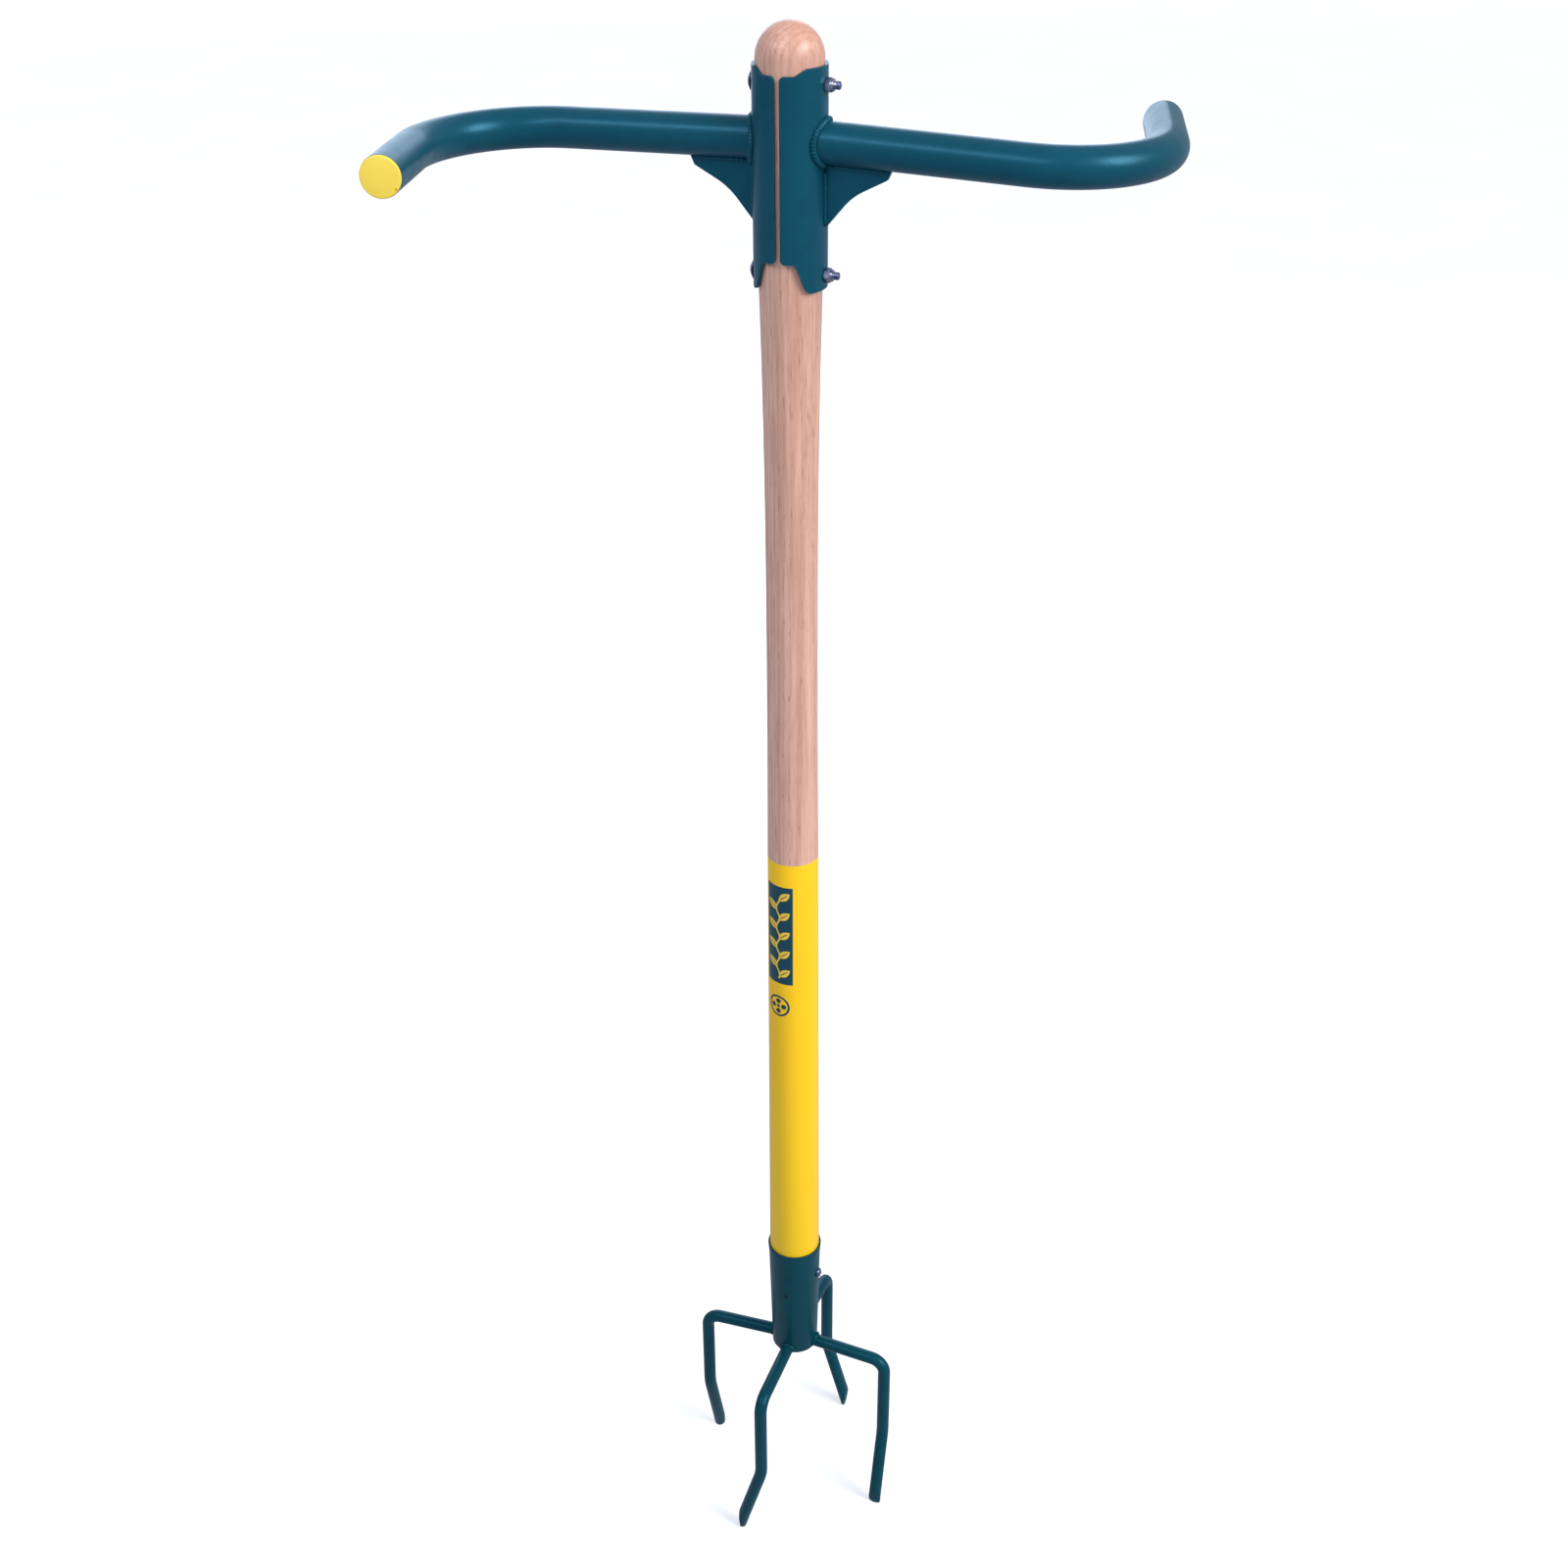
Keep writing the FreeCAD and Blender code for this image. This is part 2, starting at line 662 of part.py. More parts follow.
def bar_weld(label, turn):
    """The fillet weld that runs round the arm where it meets the collar."""
    body = new_body(label)
    reach = f"({COLLAR_OUTER} + bar_weld_leg)"
    section = disc(body, "section", "YZ_Plane", "0", "0",
                   [f"{BAR_RADIUS} + bar_weld_leg", BAR_RADIUS], tilted_tube_plane())
    pad(body, section, f"2 * {COLLAR_OUTER}")
    cope_to_collar(body)
    trim = disc(body, "trim", "XY_Plane", "0", "0", [f"3 * {COLLAR_OUTER}", reach])
    pocket(body, trim, "4 * overall_height", symmetric=True)
    lowest = f"{BAR_HEIGHT} - 2 * bar_diameter"
    slot = outline(body, "gusset_slot", "YZ_Plane", [
        ("-gusset_thickness / 2", lowest),
        ("gusset_thickness / 2", lowest),
        ("gusset_thickness / 2", BAR_HEIGHT),
        ("-gusset_thickness / 2", BAR_HEIGHT),
    ])
    pocket(body, slot, f"4 * {COLLAR_OUTER}", symmetric=True)
    collar_limit = value(reach)
    arm_limit = value(f"{BAR_RADIUS} + bar_weld_leg")
    arm_start = FreeCAD.Vector(0, 0, value(BAR_HEIGHT))
    droop = value("bar_droop")

    def on_outer_edge(point):
        from_collar = math.hypot(point.x, point.y)
        from_arm = offset_from_arm(point, arm_start, droop)[1]
        return near(from_collar, collar_limit) and near(from_arm, arm_limit)

    bevel_edges(body, on_outer_edge, "bar_weld_bevel")
    place(body, move(angle=turn))


# ------------------------------------------------------------------- gussets
# A flat plate stands in the corner under each arm. Its free edge is hollowed.

GUSSET_REACH = f"({COLLAR_OUTER} + gusset_length)"
GUSSET_NOSE = f"({COLLAR_OUTER} + gusset_nose_length)"
GUSSET_WAIST = f"({COLLAR_OUTER} + gusset_waist_length)"


def underside(depth):
    """A height below the arm's lowest line at the handle's axis."""
    return f"({BAR_HEIGHT} - {BAR_RADIUS} - ({depth}))"


def cope_to_bar(body):
    """Cut the arm's outer cylinder away from a piece that is welded under it."""
    seat = disc(body, "bar_seat", "YZ_Plane", "0", "0", [BAR_RADIUS], tilted_tube_plane())
    pocket(body, seat, f"4 * {GUSSET_REACH}", symmetric=True)


def gusset(label, turn):
    """One gusset plate, on the middle plane of its arm."""
    body = new_body(label)
    plate = outline(body, "plate", "XZ_Plane", [
        ("0", BAR_HEIGHT),
        ("0", underside("gusset_foot_depth")),
        (COLLAR_OUTER, underside("gusset_foot_depth")),
        (GUSSET_WAIST, underside("gusset_waist_depth")),
        (GUSSET_NOSE, underside("gusset_nose_depth")),
        (GUSSET_REACH, underside(f"{GUSSET_REACH} * tan(bar_droop)")),
        (GUSSET_REACH, BAR_HEIGHT),
    ])
    pad(body, plate, "gusset_thickness", symmetric=True)
    round_edges(body, value(GUSSET_WAIST), value(underside("gusset_waist_depth")),
                "gusset_waist_rounding")
    cope_to_collar(body)
    cope_to_bar(body)
    place(body, move(angle=turn))


def gusset_weld(label, turn):
    """The fillet runs on both faces of a gusset, along the collar and the arm."""
    body = new_body(label)
    face = "(gusset_thickness / 2)"
    wide = f"({face} + gusset_weld_leg + weld_root)"
    start = f"({COLLAR_OUTER} + bar_weld_leg + weld_run_gap)"
    upright = new_sketch(body, "upright", "XY_Plane",
                         move(z=underside("gusset_foot_depth - gusset_weld_leg")))
    level = new_sketch(body, "level", "YZ_Plane", tilted_tube_plane(start))
    for sign in ("", "-"):
        add_path(upright, [
            (f"{COLLAR_OUTER} - weld_root", f"{sign}{face}"),
            (f"{COLLAR_OUTER} + gusset_weld_leg", f"{sign}{face}"),
            (f"{COLLAR_OUTER} - weld_root", f"{sign}{wide}"),
        ])
        add_path(level, [
            (f"{sign}{face}", f"weld_root - {BAR_RADIUS}"),
            (f"{sign}{face}", f"-{BAR_RADIUS} - gusset_weld_leg"),
            (f"{sign}{wide}", f"weld_root - {BAR_RADIUS}"),
        ])
    doc.recompute()
    pad(body, upright, "gusset_foot_depth - 2 * gusset_weld_leg - bar_weld_leg")
    pad(body, level, f"{GUSSET_NOSE} - {start} - gusset_weld_leg")
    cope_to_collar(body)
    cope_to_bar(body)
    place(body, move(angle=turn))


# --------------------------------------------------------------- tine socket
# A tapered steel tube, slightly flared at its mouth, pressed on the handle's
# tail. One side screw holds it, and a small hole is left in its front.

def tine_socket():
    """The socket, with its screw hole at +X and its pin hole at -Y."""
    body = new_body("tine_socket")
    profile = outline(body, "profile", "XZ_Plane", [
        (f"{FOOT_RADIUS} - socket_wall", "socket_bottom"),
        (FOOT_RADIUS, "socket_bottom"),
        (NECK_RADIUS, SOCKET_NECK),
        (MOUTH_RADIUS, SOCKET_TOP),
        (f"{MOUTH_RADIUS} - socket_wall", SOCKET_TOP),
        (f"{NECK_RADIUS} - socket_wall", SOCKET_NECK),
    ])
    revolve(body, profile)
    hole = disc(body, "screw_hole", "YZ_Plane", "0", SCREW_HEIGHT, [SCREW_HOLE])
    pocket(body, hole, f"2 * {MOUTH_RADIUS}", backwards=True)
    hole = disc(body, "pin_hole", "XZ_Plane", "0", f"{SOCKET_TOP} - pin_hole_drop",
                ["pin_hole_radius"])
    pocket(body, hole, f"2 * {MOUTH_RADIUS}", backwards=True)


def socket_screw():
    """A pan-head wood screw with a cross recess, drawn along +Z and turned to +X."""
    body = new_body("socket_screw")
    crown = "(screw_head_height - screw_head_rim)"
    dome = f"((screw_head_radius ^ 2 + {crown} ^ 2) / (2 * {crown}))"
    profile = outline(body, "profile", "XZ_Plane", [
        ("0", "-screw_length"),
        ("screw_shank_radius", "screw_point - screw_length"),
        ("screw_shank_radius", "0"),
        ("screw_head_radius", "0"),
        ("screw_head_radius", "screw_head_rim"),
        ("0", "screw_head_height", dome, 1),
    ])
    revolve(body, profile)
    for name, wide, tall in (("first_slot", "screw_recess_reach", "screw_recess_width / 2"),
                             ("second_slot", "screw_recess_width / 2", "screw_recess_reach")):
        slot = outline(body, name, "XY_Plane", [
            (f"-{wide}", f"-{tall}"),
            (wide, f"-{tall}"),
            (wide, tall),
            (f"-{wide}", tall),
        ], move(z="screw_head_height"))
        pocket(body, slot, "screw_recess_depth")
    head_top = "(screw_drop - socket_flare_length - screw_head_radius)"
    seat = f"{NECK_RADIUS} - {SOCKET_TAPER} * {head_top} + screw_gap"
    place(body, move(x=seat, z=SCREW_HEIGHT, axis="Y", angle="90"))


# --------------------------------------------------------------------- tines
# Four round bars, all alike and a quarter turn apart. Each runs out from the
# socket, turns down at a corner, leans sideways below its knee, so that the
# fork bites as it is turned, and ends in a point cut on its leading side.

def arm_height(x):
    """Height of a tine arm's centreline at a distance from the fork's axis."""
    fall = f"({x} - {FOOT_RADIUS}) * tan(tine_arm_droop)"
    return f"(socket_bottom + tine_arm_rise - {fall})"


def tine(label, turn):
    """One tine, drawn out along +X with its lean towards -Y, and turned to its side."""
    body = new_body(label)
    start = f"({FOOT_RADIUS} / 2)"
    trim = "(tine_corner_radius * tan((90 - tine_arm_droop) / 2))"
    knee = "(tine_knee_radius * tan(tine_lean / 2))"
    split = f"(tine_knee_height + {knee} + {TINE_RADIUS})"
    section = disc(body, "arm_section", "YZ_Plane", "0", "0", [TINE_RADIUS],
                   move(y=arm_height(start), z=start, axis="X", angle="tine_arm_droop"))
    spine = outline(body, "arm_spine", "XZ_Plane", [
        (start, arm_height(start)),
        (f"tine_reach - {trim} * cos(tine_arm_droop)",
         f"{arm_height('tine_reach')} + {trim} * sin(tine_arm_droop)"),
        ("tine_reach", f"{arm_height('tine_reach')} - {trim}", "tine_corner_radius", -1),
        ("tine_reach", split),
    ], closed=False)
    sweep(body, section, spine)

    below = "(-tine_diameter)"
    leg_section = disc(body, "leg_section", "XY_Plane", "tine_reach", "0", [TINE_RADIUS],
                       move(z=split))
    leg_spine = outline(body, "leg_spine", "YZ_Plane", [
        ("0", split),
        ("0", f"tine_knee_height + {knee}"),
        (f"-{knee} * sin(tine_lean)", f"tine_knee_height - {knee} * cos(tine_lean)",
         "tine_knee_radius", -1),
        (f"-(tine_knee_height - {below}) * tan(tine_lean)", below),
    ], move(z="tine_reach"), closed=False)
    sweep(body, leg_section, leg_spine)

    half_width = f"({TINE_RADIUS} / cos(tine_lean))"
    lead = f"(-(tine_knee_height - tine_point_length) * tan(tine_lean) - {half_width})"
    trail = f"(-tine_knee_height * tan(tine_lean) + {half_width})"
    point = outline(body, "point", "YZ_Plane", [
        (lead, "tine_point_length"),
        (f"{lead} - 3 * tine_diameter", "tine_point_length"),
        (f"{lead} - 3 * tine_diameter", "-3 * tine_diameter"),
        (f"{trail} + 3 * tine_diameter", "-3 * tine_diameter"),
        (f"{trail} + 3 * tine_diameter", "0"),
        (f"{trail} - tine_point_thickness", "0"),
    ])
    pocket(body, point, "4 * tine_reach", symmetric=True)
    cope_to_socket(body)
    place(body, move(angle=turn))


def cope_to_socket(body):
    """Cut the socket's outer cone, carried on below its foot, from a welded piece."""
    high = "socket_length / 2"
    cone = outline(body, "cope", "XZ_Plane", [
        ("0", f"socket_bottom - {high}"),
        (f"{FOOT_RADIUS} - {SOCKET_TAPER} * {high}", f"socket_bottom - {high}"),
        (f"{FOOT_RADIUS} + {SOCKET_TAPER} * {high}", f"socket_bottom + {high}"),
        ("0", f"socket_bottom + {high}"),
    ])
    revolve(body, cone, cut=True)


def tine_weld(label, turn):
    """The bead round a tine's inner end, where the socket's wall backs it."""
    body = new_body(label)
    arm_end = arm_height(FOOT_RADIUS)
    centre = move(y=arm_end, z=FOOT_RADIUS, axis="X", angle="tine_arm_droop")
    ring = disc(body, "bead", "YZ_Plane", "0", "0",
                [f"{TINE_RADIUS} + tine_weld_leg", TINE_RADIUS], centre)
    pad(body, ring, "2 * tine_weld_leg", symmetric=True)
    start = FreeCAD.Vector(value(FOOT_RADIUS), 0, value(arm_end))
    droop = value("tine_arm_droop")
    leg = value("tine_weld_leg")
    rim = value(f"{TINE_RADIUS} + tine_weld_leg")

    def on_outer_rim(point):
        along, out = offset_from_arm(point, start, droop)
        return near(along, leg) and near(out, rim)

    bevel_edges(body, on_outer_rim, "tine_weld_bevel")
    cope_to_socket(body)
    below = outline(body, "below", "XZ_Plane", [
        ("0", "socket_bottom - 4 * tine_diameter"),
        (f"2 * {MOUTH_RADIUS}", "socket_bottom - 4 * tine_diameter"),
        (f"2 * {MOUTH_RADIUS}", "socket_bottom"),
        ("0", "socket_bottom"),
    ])
    pocket(body, below, "4 * tine_diameter", symmetric=True)
    place(body, move(angle=turn))


# ------------------------------------------------------------------ assembly

wooden_handle()
handle_sleeve()
for side, half_turn in (("right", "0"), ("left", "180")):
    collar_half(f"{side}_collar_half", half_turn, neck_hole=(side == "left"))
    handlebar_tube(f"{side}_handlebar_tube", half_turn)
    end_cap(f"{side}_end_cap", half_turn)
    bar_weld(f"{side}_tube_weld", half_turn)
    gusset(f"{side}_gusset", half_turn)
    gusset_weld(f"{side}_gusset_weld", half_turn)
for level, bolt_height in (("upper", UPPER_BOLT), ("lower", LOWER_BOLT)):
    clamp_bolt(f"{level}_clamp_bolt", bolt_height)
    clamp_nut(f"{level}_clamp_nut", bolt_height)
    nut_insert(f"{level}_nut_insert", bolt_height)
tine_socket()
socket_screw()
for side, quarter_turn in (("right", "0"), ("rear", "90"), ("left", "180"), ("front", "270")):
    tine(f"{side}_tine", quarter_turn)
    tine_weld(f"{side}_tine_weld", quarter_turn)

doc.recompute()
for item in doc.Objects:
    if "Invalid" in item.State or "Error" in item.State:
        raise RuntimeError(f"{item.Name} is {item.State}")
for piece in pieces:
    if piece.Shape.isNull() or not piece.Shape.isValid():
        raise RuntimeError(f"{piece.Label} has no valid shape")

os.makedirs(PARTS_FOLDER, exist_ok=True)
for piece in pieces:
    piece.Shape.exportStep(f"{PARTS_FOLDER}/{piece.Label}.step")
    print(f"{piece.Label}: {len(piece.Shape.Solids)} solid, {piece.Shape.Volume:.1f} mm3")
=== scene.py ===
import bmesh
import bpy
from math import acos, asin, cos, pi, radians, sin, sqrt, tan, tau
from mathutils import Matrix, Vector


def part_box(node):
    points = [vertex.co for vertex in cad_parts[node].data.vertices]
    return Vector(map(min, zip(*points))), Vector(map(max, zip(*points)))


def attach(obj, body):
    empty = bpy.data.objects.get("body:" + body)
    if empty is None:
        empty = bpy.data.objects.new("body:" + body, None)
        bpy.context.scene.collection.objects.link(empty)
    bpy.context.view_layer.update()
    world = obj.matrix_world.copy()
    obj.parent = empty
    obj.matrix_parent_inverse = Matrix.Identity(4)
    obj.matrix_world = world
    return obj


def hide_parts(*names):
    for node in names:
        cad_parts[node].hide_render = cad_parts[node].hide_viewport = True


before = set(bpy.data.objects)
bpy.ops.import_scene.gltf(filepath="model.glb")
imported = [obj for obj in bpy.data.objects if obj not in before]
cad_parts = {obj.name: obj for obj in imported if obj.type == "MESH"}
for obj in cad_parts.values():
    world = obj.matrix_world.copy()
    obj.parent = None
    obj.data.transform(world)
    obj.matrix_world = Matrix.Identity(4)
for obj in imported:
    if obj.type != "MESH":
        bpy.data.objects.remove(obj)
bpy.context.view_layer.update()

mm = 0.001


# ---------------- ash handle
# One straight-grained ash blank, turned and sanded: a thick stretch where the
# clamp grips it, a domed top, a slimmer waist and a tail that the socket takes.
# It has one clear coat, and it is drilled across for the clamp bolts.

def math_rule(operation):
    """A method that puts a wire, and any others after it, through a Math node."""
    def through(wire, *others):
        return wire.graph.math(operation, wire, *others)
    return through


class Wire:
    """One output of a node. Arithmetic on it adds Math nodes to its graph."""

    def __init__(self, graph, socket):
        self.graph = graph
        self.socket = socket

    __add__ = __radd__ = math_rule("ADD")
    __sub__ = math_rule("SUBTRACT")
    __mul__ = __rmul__ = math_rule("MULTIPLY")
    __truediv__ = math_rule("DIVIDE")
    __lt__ = math_rule("LESS_THAN")
    __gt__ = math_rule("GREATER_THAN")
    __abs__ = math_rule("ABSOLUTE")
    fraction = math_rule("FRACT")
    floor = math_rule("FLOOR")
    root = math_rule("SQRT")
    sine = math_rule("SINE")
    at_least = math_rule("MAXIMUM")
    at_most = math_rule("MINIMUM")

    def __rsub__(self, other):
        return self.graph.math("SUBTRACT", other, self)

    def ramp(self, low, high):
        """0 at low, 1 at high, and an even ease between them."""
        return self.graph.node("ShaderNodeMapRange", {"interpolation_type": "SMOOTHSTEP"},
                               {"Value": self, "From Min": low, "From Max": high})


class Graph:
    """A node tree that is filled by expressions."""

    def __init__(self, tree):
        self.tree = tree

    def node(self, kind, settings=None, inputs=None, output=0):
        """A node of that kind: its settings, then the values or links of its sockets."""
        made = self.tree.nodes.new(kind)
        for name, setting in (settings or {}).items():
            setattr(made, name, setting)
        for name, given in (inputs or {}).items():
            if isinstance(given, Wire):
                self.tree.links.new(given.socket, made.inputs[name])
            else:
                made.inputs[name].default_value = given
        return Wire(self, made.outputs[output])

    def math(self, operation, *terms):
        """A Math node on these terms, in this order."""
        return self.node("ShaderNodeMath", {"operation": operation}, dict(enumerate(terms)))

    def split(self, vector):
        """A vector's three parts."""
        parts = self.node("ShaderNodeSeparateXYZ", None, {"Vector": vector})
        return [Wire(self, socket) for socket in parts.socket.node.outputs]


class Finish(Graph):
    """One surface finish: a Principled shader and the nodes that feed it."""

    def __init__(self, name, **constants):
        self.material = bpy.data.materials.new(name)
        self.material.use_nodes = True
        super().__init__(self.material.node_tree)
        self.shader = self.tree.nodes["Principled BSDF"]
        for socket, amount in constants.items():
            self.shader.inputs[socket.replace("_", " ")].default_value = amount
        self.place = self.node("ShaderNodeTexCoord", output=3)

    def feed(self, **wires):
        """Link wires to the shader's own sockets."""
        for socket, wire in wires.items():
            self.tree.links.new(wire.socket, self.shader.inputs[socket.replace("_", " ")])

    def noise(self, scale, detail=2.0, stretch=(1.0, 1.0, 1.0)):
        """A cloud of values about 0.5. The stretch is per axis, on the piece's own metres."""
        spot = self.node("ShaderNodeMapping", None, {"Vector": self.place, "Scale": stretch})
        return self.node("ShaderNodeTexNoise", None,
                         {"Vector": spot, "Scale": scale, "Detail": detail})

    def blend(self, share, first, second):
        """From the first colour to the second by a share from 0 to 1."""
        return self.node("ShaderNodeMix", {"data_type": "RGBA"},
                         {0: share, 6: first, 7: second}, output=2)

    def relief(self, height, depth, strength=1.0):
        """Bump from a height of 0 to 1 that stands for that depth in metres."""
        bump = self.node("ShaderNodeBump", None,
                         {"Height": height, "Distance": depth, "Strength": strength})
        self.feed(Normal=bump)


def varnished_ash():
    """Rings about a pith outside the blank, with lines of open pores in each ring."""
    finish = Finish("varnished_ash", Coat_Roughness=0.28, Specular_IOR_Level=0.4)
    pith = (-0.075, 0.045)
    ring_width, ring_sway = 0.0031, 0.011
    sway = finish.noise(5.0, 1.0, (1.0, 1.0, 0.28))
    across, deep = [wire - middle for wire, middle in zip(finish.split(finish.place), pith)]
    from_pith = (across * across + deep * deep).root()
    ring = ((from_pith + sway * ring_sway) / ring_width).fraction()
    early = ring.ramp(0.0, 0.12) * (1.0 - ring.ramp(0.22, 0.62))
    streaks = finish.noise(95.0, 3.0, (1.0, 1.0, 0.05))
    fibre = finish.noise(560.0, 3.0, (1.0, 1.0, 0.045))
    pores = finish.noise(1300.0, 2.0, (1.0, 1.0, 0.07))
    open_pores = pores.ramp(0.56, 0.68) * (0.25 + early * 0.75)
    pale = (0.820, 0.485, 0.372, 1.0)
    warm = (0.690, 0.368, 0.266, 1.0)
    ring_line = (0.530, 0.268, 0.185, 1.0)
    pore_line = (0.360, 0.172, 0.110, 1.0)
    wood = finish.blend(streaks.ramp(0.34, 0.66), pale, warm)
    wood = finish.blend(fibre.ramp(0.42, 0.68) * 0.46, wood, ring_line)
    wood = finish.blend(early * 0.30, wood, ring_line)
    wood = finish.blend(open_pores * 0.66, wood, pore_line)
    finish.feed(Base_Color=wood,
                Roughness=0.42 + open_pores * 0.25 + fibre * 0.06,
                Coat_Weight=0.30 - open_pores * 0.22)
    finish.relief(fibre * 0.35 - open_pores, depth=0.00009, strength=0.55)
    return finish.material


def soften(corners, steps=6):
    """Points along an outline. A corner is (x, y), or (x, y, radius) where it is rounded."""
    points = []
    count = len(corners)
    for number, corner in enumerate(corners):
        here = Vector(corner[:2])
        if len(corner) == 2:
            points.append(here)
            continue
        back = (Vector(corners[number - 1][:2]) - here).normalized()
        ahead = (Vector(corners[(number + 1) % count][:2]) - here).normalized()
        half_angle = back.angle(ahead) / 2
        centre = here + (back + ahead).normalized() * corner[2] / sin(half_angle)
        first = here + back * corner[2] / tan(half_angle) - centre
        last = here + ahead * corner[2] / tan(half_angle) - centre
        sweep = first.angle_signed(last)
        for step in range(steps + 1):
            points.append(centre + Matrix.Rotation(-sweep * step / steps, 2) @ first)
    return points


def arc(middle, reach, first, last, steps):
    """Points round a middle from one angle to another, with a reach across and up."""
    points = []
    for step in range(steps + 1):
        angle = first + (last - first) * step / steps
        points.append((middle[0] + reach[0] * cos(angle),
                       middle[1] + reach[1] * sin(angle)))
    return points


def join_rows(shape, lower, upper, closed=True):
    """Faces between two rows of corners. A row of one corner is a pole."""
    count = max(len(lower), len(upper))
    for number in range(count if closed else count - 1):
        after = (number + 1) % count
        corners = [lower[number % len(lower)], lower[after % len(lower)],
                   upper[after % len(upper)], upper[number % len(upper)]]
        shape.faces.new(list(dict.fromkeys(corners)))


def lathe(profile, segments=96, ring=False, reach=None):
    """A closed turned mesh about Z from (radius, height) points. A ring's profile is a
    loop; any other starts and ends on the axis. reach(angle, radius, height) may bend
    a radius."""
    shape = bmesh.new()
    rows = []
    for radius, height in profile:
        row = []
        for number in range(segments if radius > 0 else 1):
            angle = tau * number / segments
            far = reach(angle, radius, height) if reach else radius
            row.append(shape.verts.new((far * cos(angle), far * sin(angle), height)))
        rows.append(row)
    if ring:
        rows.append(rows[0])
    for lower, upper in zip(rows, rows[1:]):
        join_rows(shape, lower, upper)
    bmesh.ops.recalc_face_normals(shape, faces=shape.faces)
    return shape


def new_piece(name, shape, material, smooth_to=35.0):
    """An object at the origin from a bmesh, smooth where faces meet under an angle."""
    mesh = bpy.data.meshes.new(name)
    shape.to_mesh(mesh)
    shape.free()
    mesh.materials.append(material)
    mesh.shade_smooth()
    mesh.set_sharp_from_angle(angle=radians(smooth_to))
    piece = bpy.data.objects.new(name, mesh)
    bpy.context.scene.collection.objects.link(piece)
    return piece


def reshape(piece, kind, smooth_to=35.0, inputs=None, **settings):
    """Work one modifier into a piece's mesh."""
    work = piece.modifiers.new(kind, kind)
    for name, setting in settings.items():
        setattr(work, name, setting)
    for socket, amount in (inputs or {}).items():
        work[socket] = amount
    seen = piece.evaluated_get(bpy.context.evaluated_depsgraph_get())
    mesh = bpy.data.meshes.new_from_object(seen)
    mesh.name = piece.name
    piece.modifiers.clear()
    piece.data = mesh
    mesh.shade_smooth()
    mesh.set_sharp_from_angle(angle=radians(smooth_to))
    return piece


def carve(piece, tools):
    """Cut each tool's shape out of a piece. A tool is a closed bmesh in the same frame."""
    for tool in tools:
        cutter = new_piece("cutter", tool, piece.data.materials[0])
        reshape(piece, "BOOLEAN", operation="DIFFERENCE", solver="EXACT", object=cutter)
        bpy.data.objects.remove(cutter)


def drill(start, end, radius):
    """A drill's shape from one point to another."""
    run = Vector(end) - Vector(start)
    bit = lathe([(0.0, 0.0), (radius, 0.0), (radius, run.length), (0.0, run.length)], 32)
    turn = run.to_track_quat("Z", "Y").to_matrix().to_4x4()
    bit.transform(Matrix.Translation(start) @ turn)
    return bit


def settle(piece, node, turn=Matrix.Identity(4)):
    """The mesh is turned into place. The piece stands for a node and rides on its body."""
    piece.data.transform(turn)
    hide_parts(node)
    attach(piece, "root")


handle_low, handle_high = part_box("wooden_handle")
collar_low, collar_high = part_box("right_collar_half")
sleeve_low, sleeve_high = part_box("handle_sleeve")
socket_low, socket_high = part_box("tine_socket")

dome_radius = (handle_high.x - handle_low.x) / 2
clamp_radius = dome_radius - 1.05 * mm
waist_radius = clamp_radius - 2.45 * mm
sleeve_top_radius = waist_radius + 0.9 * mm
sleeve_foot_radius = sleeve_top_radius + 1.45 * mm
sleeve_wall = 0.6 * mm
neck_height = socket_high.z - 11.0 * mm
tail_radius = 16.38 * mm
tail_bevel = 1.2 * mm
neck_seat_radius = 18.30 * mm
screw_height, screw_hole_radius = socket_high.z - 28.0 * mm, 2.05 * mm
pin_height, pin_radius, pin_depth = socket_high.z - 43.5 * mm, 1.6 * mm, 8.0 * mm
bolt_heights = (collar_high.z - 11.0 * mm, collar_low.z + 8.3 * mm)
bolt_radius, bolt_gap = 2.5 * mm, 0.25 * mm


def eased(first, last, count):
    """Points from one (radius, height) towards another, with the slow change at the first."""
    points = []
    for number in range(1, count + 1):
        share = number / count
        points.append((first[0] + (last[0] - first[0]) * share ** 2,
                       first[1] + (last[1] - first[1]) * share))
    return points


def handle_profile():
    """The turned outline, from the tail's end up to the top of the dome."""
    slow_steps, dome_steps = 14, 16
    waist = (waist_radius, (sleeve_high.z + collar_low.z) / 2)
    foot = eased(waist, (sleeve_top_radius, sleeve_high.z), slow_steps)
    rise = eased(waist, (clamp_radius, collar_low.z), slow_steps)
    dome = arc((0.0, handle_high.z - dome_radius), (dome_radius, dome_radius), 0.0, pi / 2,
               dome_steps)
    return [
        (0.0, handle_low.z),
        (tail_radius - tail_bevel, handle_low.z),
        (tail_radius, handle_low.z + tail_bevel),
        (neck_seat_radius - sleeve_wall, neck_height),
        (sleeve_foot_radius - sleeve_wall, socket_high.z),
        (sleeve_top_radius - sleeve_wall, sleeve_high.z),
        *reversed(foot),
        waist,
        *rise,
        *dome[:-1],
        (0.0, handle_high.z),
    ]


def screw_hole():
    """The side screw's hole, from the middle out to the right."""
    return drill((0, 0, screw_height), (2 * dome_radius, 0, screw_height), screw_hole_radius)


def pin_hole(start, radius):
    """The small front hole, from a depth out to the front."""
    return drill((0, start, pin_height), (0, -2 * dome_radius, pin_height), radius)


handle = new_piece("ash_handle", lathe(handle_profile(), 128), varnished_ash())
cuts = [drill((-2 * dome_radius, 0, height), (2 * dome_radius, 0, height), bolt_radius + bolt_gap)
        for height in bolt_heights]
carve(handle, [*cuts, screw_hole(), pin_hole(-pin_depth, pin_radius)])
settle(handle, "wooden_handle")


